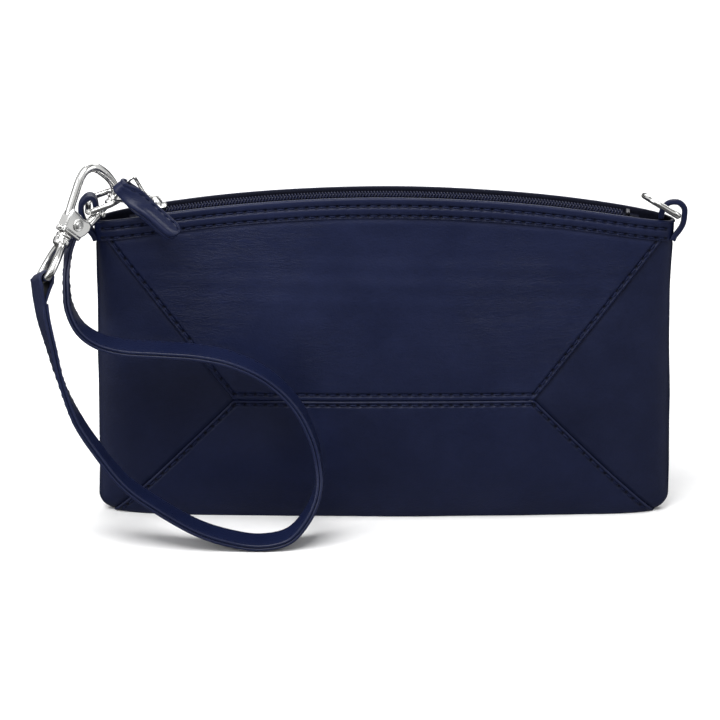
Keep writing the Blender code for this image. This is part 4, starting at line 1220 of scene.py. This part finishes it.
def fuse(name, mat, voxel, smooth, *parts):
    """Overlapping closed pieces as one smooth cast skin."""
    ob = from_bm(name, merge(*parts), mat)
    remesh = ob.modifiers.new("remesh", "REMESH")
    remesh.mode = "VOXEL"
    remesh.voxel_size = voxel * MM
    smoothing = ob.modifiers.new("smooth", "SMOOTH")
    smoothing.factor = 0.5
    smoothing.iterations = smooth
    apply_modifiers(ob)
    if not ob.data.materials:               # the remesh may drop the slot
        ob.data.materials.append(mat)
    ob.data.shade_smooth()
    return ob


# ---- zip stops and slider ---------------------------------------------------------------
def make_stop(sign, tag):
    bm = bmesh.new()
    bmesh.ops.create_cube(bm, size=1.0)
    bmesh.ops.scale(bm, verts=bm.verts, vec=(1.5, 3.9, 1.5))
    bmesh.ops.translate(bm, verts=bm.verts, vec=(0.0, 0.0, 0.2))
    bevel(bm, list(bm.edges), offset=0.4, segments=4)
    transform(bm, arc_matrix(sign * (ZIP_END - 0.6), 1.0))
    put(from_bm(tag + "_stop_clip", bm, DARK_NICKEL), "pouch", "nickel",
        "zip_%s_stop" % tag)


SLIDER_FRAME = arc_matrix(-79.0, 1.5)


def make_slider():
    """Domed shield, slightly waisted, with a bail over it."""
    half_length, sides = 4.2, 20
    rings = []
    for x in np.linspace(-half_length, half_length, 30):
        share = (x + half_length) / (2 * half_length)
        half_w = 3.3 - 0.315 * math.sin(math.pi * min(share * 1.15, 1.0)) - 0.5 * share
        half_w *= math.sqrt(max(0.02, 1 - abs(2 * share - 1) ** 8))
        half_h = 0.62 * math.sqrt(max(0.04, 1 - abs(2 * share - 1) ** 6))
        ring = []
        for k in range(sides):
            cos, sin = math.cos(2 * math.pi * k / sides), math.sin(2 * math.pi * k / sides)
            ring.append((x, half_w * math.copysign(abs(cos) ** 0.45, cos),
                         1.0 + half_h * math.copysign(abs(sin) ** 0.6, sin)))
        rings.append(ring)
    arch = ((-2.1, 0, 1.0), (-2.05, 0, 3.0), (-1.3, 0, 4.3), (0, 0, 4.8),
            (1.3, 0, 4.3), (2.05, 0, 3.0), (2.1, 0, 1.0))
    bail = wire_bm(smooth_path(arch, 6), 0.55, seg=12)
    bm = transform(merge(loft_bm(rings), bail), SLIDER_FRAME)
    put(from_bm("slider_cast", bm, NICKEL, sharp=50), "slider", "nickel", "zip_slider")


make_stop(-1, "start")
make_stop(1, "end")
make_slider()

# ---- metal puller and folded leather pull -------------------------------------------------
PULL_PIVOT = SLIDER_FRAME @ Vector((-0.1, 0.0, 2.9))
PULL_FAR = Vector((-89.8, -9.0, 120.6))     # bar of the puller that holds the leather
LEAF_END = Vector((-71.3, -15.6, 105.6))
PULL_DIR = (PULL_FAR - PULL_PIVOT).normalized()
HANG = (LEAF_END - PULL_FAR).normalized()
PULL_SIDE = PULL_DIR.cross(HANG).normalized()
PULL_OUT = HANG.cross(PULL_SIDE).normalized()
LEAF_W, LEAF_T = 3.7, 1.4                   # half width and thickness of a leaf
LEAF_TWIST = math.radians(-58.0)
FOLD_R = 0.65 + 0.35 + LEAF_T / 2           # fold round the bar, to the leaf middle


def make_puller():
    """Wire loop, round at the slider and squared at the far bar."""
    corner, near_half, far_half = 1.3, 3.1, 5.3
    near_side = square_to(Vector((0, 1, 0)), PULL_DIR)
    far_side = square_to(PULL_SIDE, PULL_DIR)
    loop = []
    for sign in (-1, 1):
        for k in range(7):
            angle = math.radians(90.0 * (k if sign < 0 else 6 - k) / 6)
            loop.append(PULL_FAR - PULL_DIR * (corner - corner * math.sin(angle))
                        + far_side * sign * (far_half - corner + corner * math.cos(angle)))
    for k in range(15):
        angle = math.pi * (k / 14) + math.pi / 2
        loop.append(PULL_PIVOT + PULL_DIR * (near_half * math.cos(angle) + near_half)
                    + near_side * (near_half * math.sin(angle)))
    wire("puller_loop", resample(loop + [loop[0]], 0.8)[:-1], 0.59, "pull_link",
         "zip_pull_link", closed=True, seg=14)


def pull_frames():
    """(centre, side, outward, width share) along one leaf, the fold and the other."""
    length = (LEAF_END - PULL_FAR).length

    def leaf(share, sign):
        turn = Matrix.Rotation(LEAF_TWIST * ease(min(share / 0.55, 1.0)), 3, HANG)
        gap = FOLD_R - (FOLD_R - LEAF_T / 2 - 0.06) * min(1.0, share * 2.4) ** 0.8
        outward = turn @ PULL_OUT
        tip = max(0.0, (share - 0.86) / 0.14)
        if tip:
            width = math.sqrt(1 - (tip * 0.93) ** 2)
        else:
            width = 0.76 + 0.24 * ease(min(1.0, share / 0.22))
        return (PULL_FAR + HANG * (length * share) + outward * (gap * sign),
                turn @ PULL_SIDE, outward * sign, width)

    shares = list(np.linspace(0, 0.86, 44))
    shares += [0.86 + 0.14 * math.sin(a) for a in np.linspace(0.1, math.pi / 2, 12)]
    frames = [leaf(share, 1.0) for share in reversed(shares)]
    for k in range(1, 14):
        angle = math.pi * k / 14
        outward = PULL_OUT * math.cos(angle) - HANG * math.sin(angle)
        frames.append((PULL_FAR + outward * FOLD_R, PULL_SIDE, outward,
                       0.76 - 0.05 * math.sin(angle)))
    return frames + [leaf(share, -1.0) for share in shares]


def pull_profile(width):
    """Leaf section: outer side b > 0, a padded ridge by one edge, a row by the other."""
    half_w = LEAF_W * width
    out = []
    for a, b in round_rect(half_w, LEAF_T / 2, radius=0.62, seg=6, crown=0.10 * width):
        if b > 0:
            b += 0.50 * width * math.exp(-((a + half_w - 1.2) / 1.05) ** 2)
            b -= 0.16 * math.exp(-((half_w - a - 1.35) / 0.32) ** 2)
        out.append((a, b))
    return out


def make_pull():
    frames = pull_frames()
    bm = loft_bm([section(centre, side, outward, pull_profile(width))
                  for centre, side, outward, width in frames])
    put(from_bm("pull_folded_leather", bm, PULL_LEATHER, sharp=60), "pull_leather",
        "pull_leather", "zip_pull_leather")
    half = len(frames) // 2
    for tag, part in (("front", frames[4:half - 8]), ("back", frames[half + 8:-4])):
        line = [tuple(centre + side * (LEAF_W * width - 1.35) + outward * (LEAF_T / 2 + 0.05))
                for centre, side, outward, width in part]
        normals = [tuple(frame[2]) for frame in part]
        stitch_mesh("stitch_pull_%s_a" % tag, *along(line, normals, 2.9), "pull_leather",
                    "pull_leather", length=2.0, radius=0.24, lift=0.12)


make_puller()
make_pull()

# ---- tabs and D-rings -----------------------------------------------------------------------
RIGHT_TIP = math.radians(20.0)              # lean of the right tab and ring about X
TAB_HALF = 2.5
RING_R, RING_HALF, RING_LEN = 1.05, 7.6, 14.6
# (|x|, z) along the middle of each folded tab
LEFT_TAB = ((99.4, 107.2), (99.2, 110.8), (100.1, 113.8), (102.0, 114.2), (104.1, 111.8),
            (104.3, 108.6), (103.5, 105.6), (102.0, 103.2), (100.2, 100.8), (99.4, 99.0))
RIGHT_TAB = ((95.4, 106.2), (95.9, 109.4), (97.9, 111.9), (101.2, 112.2), (103.3, 110.2),
             (103.4, 107.2), (102.9, 104.3), (101.6, 101.9), (100.1, 99.9), (99.4, 98.2))


def lean_width(tip):
    return Vector((0.0, math.cos(tip), -math.sin(tip)))


def make_tab(sign, tag, middle, tip):
    path = resample(smooth_path([(sign * x, 0.0, z) for x, z in middle], 8), 0.45)
    width_dir = lean_width(tip)
    rings = []
    for i, point in enumerate(path):
        normal = width_dir.cross(tangent(path, i)).normalized()
        # only the right tab widens along its length
        widen = ease(min(1.0, i / (len(path) * 0.35))) if sign > 0 else 0.0
        profile = round_rect(TAB_HALF + 1.1 * widen + 0.15, 0.92, radius=0.60, seg=5,
                             crown=0.10)
        rings.append(section(point, width_dir, normal, profile))
    put(from_bm(tag + "_tab_leather", loft_bm(rings), TAB_LEATHER, sharp=60), "pouch",
        "navy_leather", "ring_tab_" + tag)


def d_ring(sign, tag, bar, rise, tip):
    """D-ring with its bar at bar and its bow raised by rise degrees."""
    cos, sin = math.cos(math.radians(rise)), math.sin(math.radians(rise))
    out = Vector((sign * -cos, sin * math.sin(tip), sin * math.cos(tip)))
    width_dir = lean_width(tip)
    origin = Vector(bar)
    corner = 1.6
    bow_half = RING_HALF * 0.92
    bow = RING_LEN - RING_R - bow_half
    corner_angles = [math.radians(90.0 * k / 6) for k in range(7)]

    def corner_point(angle, end):
        return (origin + out * (corner - corner * math.cos(angle))
                + width_dir * (end * (RING_HALF - corner + corner * math.sin(angle))))

    path = [corner_point(angle, -1) for angle in corner_angles]
    for k in range(25):
        angle = math.pi * k / 24
        path.append(origin + out * (bow + bow_half * math.sin(angle))
                    - width_dir * (RING_HALF * math.cos(angle)))
    path += [corner_point(angle, 1) for angle in reversed(corner_angles)]
    wire(tag + "_ring_cast", resample(path + [path[0]], 0.7)[:-1], RING_R - 0.03,
         "ring_" + tag, "d_ring_" + tag, closed=True, seg=18)


make_tab(-1, "left", LEFT_TAB, 0.0)
make_tab(1, "right", RIGHT_TAB, RIGHT_TIP)
d_ring(-1, "left", (-101.9, 0.0, 110.9), 21.0, 0.0)
d_ring(1, "right", (101.2, 0.0, 107.2), 31.0, RIGHT_TIP)

# ---- snap hook --------------------------------------------------------------------------------
# hook frame: s along the hook, t across it, n out of its plane
HOOK_ORIGIN = Vector((-105.7, -12.2, 108.0))
HOOK_S = Vector((0.431, 0.499, 0.753)).normalized()
HOOK_T = square_to(Vector((0.60, 0.465, -0.65)), HOOK_S)
HOOK_N = HOOK_S.cross(HOOK_T)
STEM_T = -3.4                               # the origin lies this far off t = 0
HOOK_R, BOLT_R, EYE_R = 1.5, 1.1, 1.45
# (s, t) along the hook wire
HOOK_LOOP = ((-1.0, -0.9), (3.0, -2.4), (9.0, -3.7), (14.5, -4.6), (18.0, -3.9),
             (20.4, -1.2), (21.0, 3.0), (20.6, 7.4), (19.4, 10.8), (16.9, 12.9),
             (14.6, 12.8))
# (s, t) outlines of the body plate and of the lip at its foot
HOOK_BODY = ((-4.6, -2.3), (-4.6, 5.0), (-3.6, 5.8), (-1.6, 7.4), (0.6, 8.4), (2.6, 8.0),
             (3.2, 6.4), (3.0, 3.4), (3.6, 0.2), (3.6, -2.6), (0.5, -3.2), (-3.2, -2.9))
HOOK_LIP = ((-4.7, -2.7), (-4.7, 5.5), (-3.4, 6.0), (-3.4, -3.1))
BUTTON = (-0.2, 2.2)                        # (s, t) centre of the button and its rim


def hook_point(s, t, n=0.0):
    return HOOK_ORIGIN + HOOK_S * s + HOOK_T * (t + STEM_T) + HOOK_N * n


BOLT_START = hook_point(0.2, 7.0)
BOLT_DIR = (hook_point(14.6, 12.5) - BOLT_START).normalized()


def bolt_point(run, n=0.0):
    return BOLT_START + BOLT_DIR * run + HOOK_N * n


def plate_bm(outline, thickness, rounding):
    bm = bmesh.new()
    face = bm.faces.new([bm.verts.new(hook_point(s, t, -thickness / 2)) for s, t in outline])
    grown = bmesh.ops.extrude_face_region(bm, geom=[face])["geom"]
    moved = [item for item in grown if isinstance(item, bmesh.types.BMVert)]
    bmesh.ops.translate(bm, verts=moved, vec=HOOK_N * thickness)
    bmesh.ops.recalc_face_normals(bm, faces=bm.faces)
    flat = [e for e in bm.edges if abs((e.verts[0].co - e.verts[1].co).dot(HOOK_N)) < 1e-4]
    bevel(bm, flat, rounding, segments=3)
    return bm


def make_hook():
    path = resample(smooth_path([hook_point(s, t) for s, t in HOOK_LOOP], 10), 0.5)
    scales = []
    for i in range(len(path)):
        share = i / (len(path) - 1)
        swell = min(max((share - 0.42) / 0.15, 0.0), max((0.80 - share) / 0.12, 0.0), 1.0)
        scales.append(1.0 + 0.12 * ease(swell) - 0.06 * (share > 0.86))
    ob = fuse(
        "hook_cast", NICKEL, 0.16, 4,
        wire_bm(path, HOOK_R, seg=20, start=HOOK_N, scales=scales),
        plate_bm(HOOK_BODY, 4.2, 0.55),
        plate_bm(HOOK_LIP, 4.8, 0.4),
        rod_bm(bolt_point(-1.2), bolt_point(7.6), 1.66, seg=28, cap=0.3),       # barrel
        rod_bm(bolt_point(6.7), bolt_point(7.6), 1.76, seg=28, cap=0.2),        # collar
        rod_bm(bolt_point(13.35), bolt_point(15.6), 1.55, seg=24, cap=0.5),     # nose
        rod_bm(hook_point(-4.0, -2.4), hook_point(-4.0, -4.3), 0.85, seg=18, cap=0.3),
        rod_bm(hook_point(15.2, 11.5), hook_point(15.9, 9.9), 0.55, seg=14, cap=0.25))
    put(ob, "hook", "nickel", "hook_body")


def octagon_rim():
    """Plain eight-sided rim round the button."""
    low, high = -2.5, -1.9
    bm = bmesh.new()
    rings = []
    for radius in (2.25, 1.75):
        for n in (low, high):
            angles = [math.radians(22.5 + 45 * k) for k in range(8)]
            rings.append([bm.verts.new(hook_point(BUTTON[0] + radius * math.cos(a),
                                                  BUTTON[1] + radius * math.sin(a), n))
                          for a in angles])
    outer_low, outer_high, inner_low, inner_high = rings
    for k in range(8):
        j = (k + 1) % 8
        for a, b in ((outer_low, outer_high), (inner_low, inner_high),
                     (outer_high, inner_high), (outer_low, inner_low)):
            bm.faces.new((a[k], a[j], b[j], b[k]))
    bmesh.ops.recalc_face_normals(bm, faces=bm.faces)
    bevel(bm, list(bm.edges), offset=0.08, segments=2)
    put(from_bm("hook_rim_plain", bm, NICKEL), "hook", "nickel")


def make_button():
    profile = [(0, 0), (1.35, 0), (1.35, 0.75), (1.25, 0.92), (1.05, 1.0), (0.8, 0.98),
               (0.62, 0.88), (0.5, 0.9), (0, 0.98)]
    bm = turned_bm(profile, 32, hook_point(*BUTTON, -1.95), -HOOK_N)
    put(from_bm("hook_button_plain", bm, SOFT_NICKEL), "hook", "nickel", "hook_button")


def make_bolt():
    """Sliding bolt with a ring round it and a thumb stud."""
    bm = merge(
        rod_bm(bolt_point(5.8), bolt_point(13.1), BOLT_R, seg=28, cap=0.35),
        rod_bm(bolt_point(8.5), bolt_point(8.5, -2.6), 0.5, seg=18, cap=0.1),
        rod_bm(bolt_point(8.5, -2.2), bolt_point(8.5, -3.15), 0.95, seg=24, cap=0.35),
        rod_bm(bolt_point(9.6), bolt_point(10.3), BOLT_R + 0.14, seg=28, cap=0.12))
    put(from_bm("bolt_turned", bm, NICKEL, sharp=45), "bolt", "nickel", "hook_bolt")


def make_spring():
    turns, steps, radius = 3.0, 96, 0.95
    side = HOOK_N.cross(BOLT_DIR).normalized()
    path = []
    for k in range(steps + 1):
        angle = 2 * math.pi * turns * k / steps
        path.append(bolt_point(0.85 + 0.95 * k / steps) + side * (radius * math.cos(angle))
                    + HOOK_N * (radius * math.sin(angle)))
    wire("bolt_spring_wire", path, 0.12, "hook", "bolt_spring", seg=8, mat=SPRING_WIRE,
         slot="spring_steel")


EYE_WIDTH = square_to(Vector((0.0, 1.0, 0.0)), HOOK_S)
EYE_T = 0.6                                 # t of the eye's axis
EYE_BAR_S = -22.8                           # s of the bar that holds the strap
# (s, half width) from the swivel to the bar
EYE_HALF = ((-8.6, 0.2), (-9.2, 2.4), (-11.5, 5.4), (-15.5, 8.0), (-20.0, 8.9),
            (-22.3, 8.2), (EYE_BAR_S, 6.6), (EYE_BAR_S, 3.0))


def make_eye():
    """Swivel eye: wire loop, turned shank and stem."""
    outline = [(s, -w) for s, w in EYE_HALF] + [(EYE_BAR_S, 0.0)] + list(reversed(EYE_HALF))
    points = [hook_point(s, EYE_T) + EYE_WIDTH * w for s, w in outline]
    loop = wire_bm(resample(smooth_path(points, 8), 0.6), EYE_R, seg=18)
    start, end = hook_point(-9.8, EYE_T), hook_point(-5.1, EYE_T)
    length = (end - start).length
    profile = [(0, 0), (1.9, 0), (2.7, 0.5), (3.05, 1.3), (3.1, 2.6), (2.75, 3.1),
               (2.75, 3.5), (3.0, 3.8), (3.0, length - 0.35), (2.6, length), (0, length)]
    shank = turned_bm(profile, 36, start, HOOK_S)
    stem = rod_bm(hook_point(-7.5, EYE_T), hook_point(-2.2, EYE_T), 1.1, seg=24, cap=0.2)
    put(fuse("swivel_eye_cast", NICKEL, 0.17, 3, loop, shank, stem), "eye", "nickel",
        "swivel_eye")


make_hook()
octagon_rim()
make_button()
make_bolt()
make_spring()
make_eye()

# ---- wrist strap --------------------------------------------------------------------------------
STRAP_W, STRAP_T = 12.5, 1.05
# (x, y, z) between the two layers, from the swivel eye round to the left D-ring
STRAP_PATH = ((-117.9, -25.2, 84.5), (-116.9, -26.3, 78.5), (-114.6, -27.8, 69.8),
              (-111.2, -29.3, 57.3), (-106.0, -31.0, 44.8), (-99.2, -33.0, 34.4),
              (-89.5, -35.0, 22.6), (-77.4, -36.5, 13.9), (-63.6, -38.0, 6.4),
              (-50.5, -38.0, 2.3), (-41.1, -38.0, 1.5), (-32.5, -37.0, 3.6),
              (-26.3, -35.0, 10.2), (-22.8, -32.0, 18.3), (-22.5, -29.0, 26.4),
              (-24.9, -27.0, 36.7), (-30.7, -25.0, 47.7), (-40.1, -23.5, 56.7),
              (-51.5, -22.5, 62.3), (-63.6, -22.0, 65.0), (-77.4, -22.0, 66.1),
              (-89.5, -22.0, 66.9), (-98.4, -21.5, 69.2), (-104.6, -20.2, 73.5),
              (-108.3, -17.2, 80.1), (-109.3, -12.8, 87.5), (-108.9, -7.5, 94.0),
              (-107.7, -3.2, 98.9), (-106.3, -1.0, 102.8))


def strap_frames():
    """Path, width directions and outward normals of the strap."""
    path = resample(smooth_path(STRAP_PATH, 12), 0.9)
    widths, normals = [], []
    for i in range(len(path)):
        forward = tangent(path, i)
        share = min(1.0, i / (len(path) - 1) * 7.0)
        width = square_to(EYE_WIDTH.lerp(Vector((0.0, 1.0, 0.0)), share), forward)
        widths.append(width)
        normals.append(width.cross(forward).normalized())
    return path, widths, normals


def outer_layer(outer, inner, widths, normals, back):
    """Outer layer, swung round the eye bar to meet the end of the inner layer.

    back points from the strap's first point towards the eye.
    """
    side = square_to(normals[0], EYE_WIDTH)
    up = square_to(square_to(back, EYE_WIDTH), side)
    bar = hook_point(EYE_BAR_S, EYE_T)
    wrap, wrap_normals = [], []
    for k in range(25):
        angle = math.radians(-14.0 + 208.0 * k / 24)
        normal = side * math.cos(angle) + up * math.sin(angle)
        wrap.append(bar + normal * (EYE_R + 0.35 + STRAP_T / 2))
        wrap_normals.append(normal)
    lead = smooth_path([outer[1], outer[0], wrap[0], wrap[1]], 8)[8:17]
    lead_normals = [normals[0].lerp(wrap_normals[0], k / (len(lead) - 1)).normalized()
                    for k in range(len(lead))]
    tail = smooth_path([wrap[-2], wrap[-1], inner[0] + back * 0.4, inner[1]], 8)[9:16]
    tail_normals = [wrap_normals[-1].lerp(-normals[0], (k + 1) / (len(tail) + 1)).normalized()
                    for k in range(len(tail))]
    bend = lead + wrap[1:] + tail
    return (outer[:0:-1] + bend, widths[:0:-1] + [EYE_WIDTH] * len(bend),
            normals[:0:-1] + lead_normals + wrap_normals[1:] + tail_normals)


def strap_layer(tag, path, widths, normals):
    """Builds a layer and returns its (point, width direction, outward) frames."""
    frames = []
    for i, (point, width, normal) in enumerate(zip(path, widths, normals)):
        forward = tangent(path, i)
        width = square_to(width, forward)
        frames.append((point, width, square_to(square_to(normal, forward), width)))
    profile = round_rect(STRAP_W / 2, STRAP_T / 2, radius=0.42, seg=4, crown=0.06)
    bm = loft_bm([section(*frame, profile) for frame in frames])
    ob = from_bm("strap_%s_leather" % tag, bm, STRAP_LEATHER, sharp=60)
    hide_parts("wrist_strap_" + tag)
    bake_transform(ob)
    return frames


def strap_stitches(name, frames, sign):
    line = [tuple(point + width * sign * (STRAP_W / 2 - 1.5) + up * (STRAP_T / 2 + 0.03))
            for point, width, up in frames]
    normals = [tuple(up) for _, _, up in frames]
    stitch_mesh(name, *along(line, normals, 3.3), "strap", "strap_leather", length=2.3,
                radius=0.20, lift=0.05)


def make_strap():
    path, widths, normals = strap_frames()
    offset = (STRAP_T + 0.12) / 2
    outer = [p + normal * offset for p, normal in zip(path, normals)]
    inner = [p - normal * offset for p, normal in zip(path, normals)]
    back = (path[0] - path[1]).normalized()
    outer_frames = strap_layer("outer", *outer_layer(outer, inner, widths, normals, back))
    inner_frames = strap_layer("inner", inner, widths, [-normal for normal in normals])
    for sign, edge in ((1, "a"), (-1, "b")):
        strap_stitches("stitch_strap_outer_" + edge, outer_frames[12:len(outer) - 7], sign)
        strap_stitches("stitch_strap_inner_" + edge, inner_frames[6:-12], sign)


make_strap()


# ---- floor, lights, world, camera (metres) --------------------------------------------------------
def make_floor():
    bpy.ops.mesh.primitive_plane_add(size=12.0, location=(0, 0, 0))
    floor = bpy.context.object
    floor.name = "floor"
    m = Surface("floor_paper")
    mottle = m.noise(scale=90.0, detail=3.0, rough=0.5)
    base = m.ramp(mottle, [(0.3, (0.86, 0.86, 0.865)), (0.7, (0.90, 0.90, 0.90))])
    floor.data.materials.append(m.finish(Base_Color=base, Roughness=0.9,
                                         Specular_IOR_Level=0.1))
    floor.visible_glossy = False            # kept out of the reflections


def aim(ob, target):
    ob.rotation_euler = (Vector(target) - ob.location).to_track_quat("-Z", "Y").to_euler()


def area_light(name, location, target_z, size, power):
    light = bpy.data.lights.new(name, "AREA")
    light.shape = "RECTANGLE"
    light.size, light.size_y = size
    light.energy = power
    ob = new_object(name, light)
    ob.location = location
    aim(ob, (0, 0, target_z))


def make_world():
    world = bpy.context.scene.world or bpy.data.worlds.new("studio")
    bpy.context.scene.world = world
    world.use_nodes = True
    nodes = Nodes(world.node_tree)
    ambient = world.node_tree.nodes.get("Background")
    ambient.inputs["Color"].default_value = (1.0, 1.0, 1.0, 1.0)
    ambient.inputs["Strength"].default_value = 0.55
    # reflections see bands from below (0) to above (1): mostly dark up to the
    # horizon, a pale ceiling, one dark flag; (position, brightness)
    bands = [(0.0, 0.30), (0.22, 0.05), (0.33, 0.05), (0.43, 0.34), (0.49, 0.03),
             (0.57, 0.06), (0.64, 0.75), (0.80, 1.0), (0.88, 0.12), (1.0, 0.9)]
    rays = nodes.add("LightPath", {}).outputs
    coords = nodes.add("TexCoord", {}).outputs["Generated"]
    axes = nodes.add("SeparateXYZ", {0: coords}).outputs
    studio = nodes.ramp(nodes.remap(axes[2], (-1.0, 1.0), (0.0, 1.0)),
                        [(position, (v, v, v)) for position, v in bands], "EASE")
    # a tall soft box at each side
    x_abs = nodes.add("Math", {0: axes[0]}, operation="ABSOLUTE").outputs[0]
    boxes = nodes.remap(x_abs, (0.80, 0.965), (0.0, 0.85), "SMOOTHSTEP")
    both = nodes.add("Math", {0: boxes, 1: studio}, operation="MAXIMUM").outputs[0]
    mirrored = nodes.add("Background", {"Strength": 0.9, "Color": both})
    lit = nodes.add("MixShader", {0: rays["Is Glossy Ray"], 1: ambient.outputs[0],
                                  2: mirrored.outputs[0]})
    # the camera itself sees plain white
    white = nodes.add("Background", {"Strength": 1.0, "Color": (1.0, 1.0, 1.0, 1.0)})
    seen = nodes.add("MixShader", {0: rays["Is Camera Ray"], 1: lit.outputs[0],
                                   2: white.outputs[0]})
    output = next(n for n in world.node_tree.nodes if n.type == "OUTPUT_WORLD")
    nodes.put(output.inputs["Surface"], seen.outputs[0])


def make_camera():
    distance, view_width, sensor = 5.6, 0.24876, 36.0
    elevation = math.radians(20.0)
    target = Vector((-0.0083, 0.0, 0.0544))
    data = bpy.data.cameras.new("camera")
    data.sensor_width = sensor
    data.lens = sensor * distance / view_width
    data.clip_end = 50.0
    camera = new_object("camera", data)
    away = Vector((0.0, -math.cos(elevation), math.sin(elevation)))
    camera.location = target + away * distance
    aim(camera, target)
    bpy.context.scene.camera = camera


make_floor()
area_light("key_top", (-0.25, -0.45, 1.15), target_z=0.06, size=(0.9, 0.7), power=16.0)
area_light("fill_left", (-1.1, -0.55, 0.55), target_z=0.06, size=(0.5, 0.8), power=5.0)
area_light("fill_right", (1.15, -0.35, 0.6), target_z=0.06, size=(0.5, 0.8), power=2.0)
area_light("back_rim", (0.1, 0.9, 0.8), target_z=0.08, size=(1.2, 0.5), power=7.0)
make_world()
bpy.context.scene.view_settings.view_transform = "Standard"
bpy.context.scene.view_settings.look = "None"
make_camera()

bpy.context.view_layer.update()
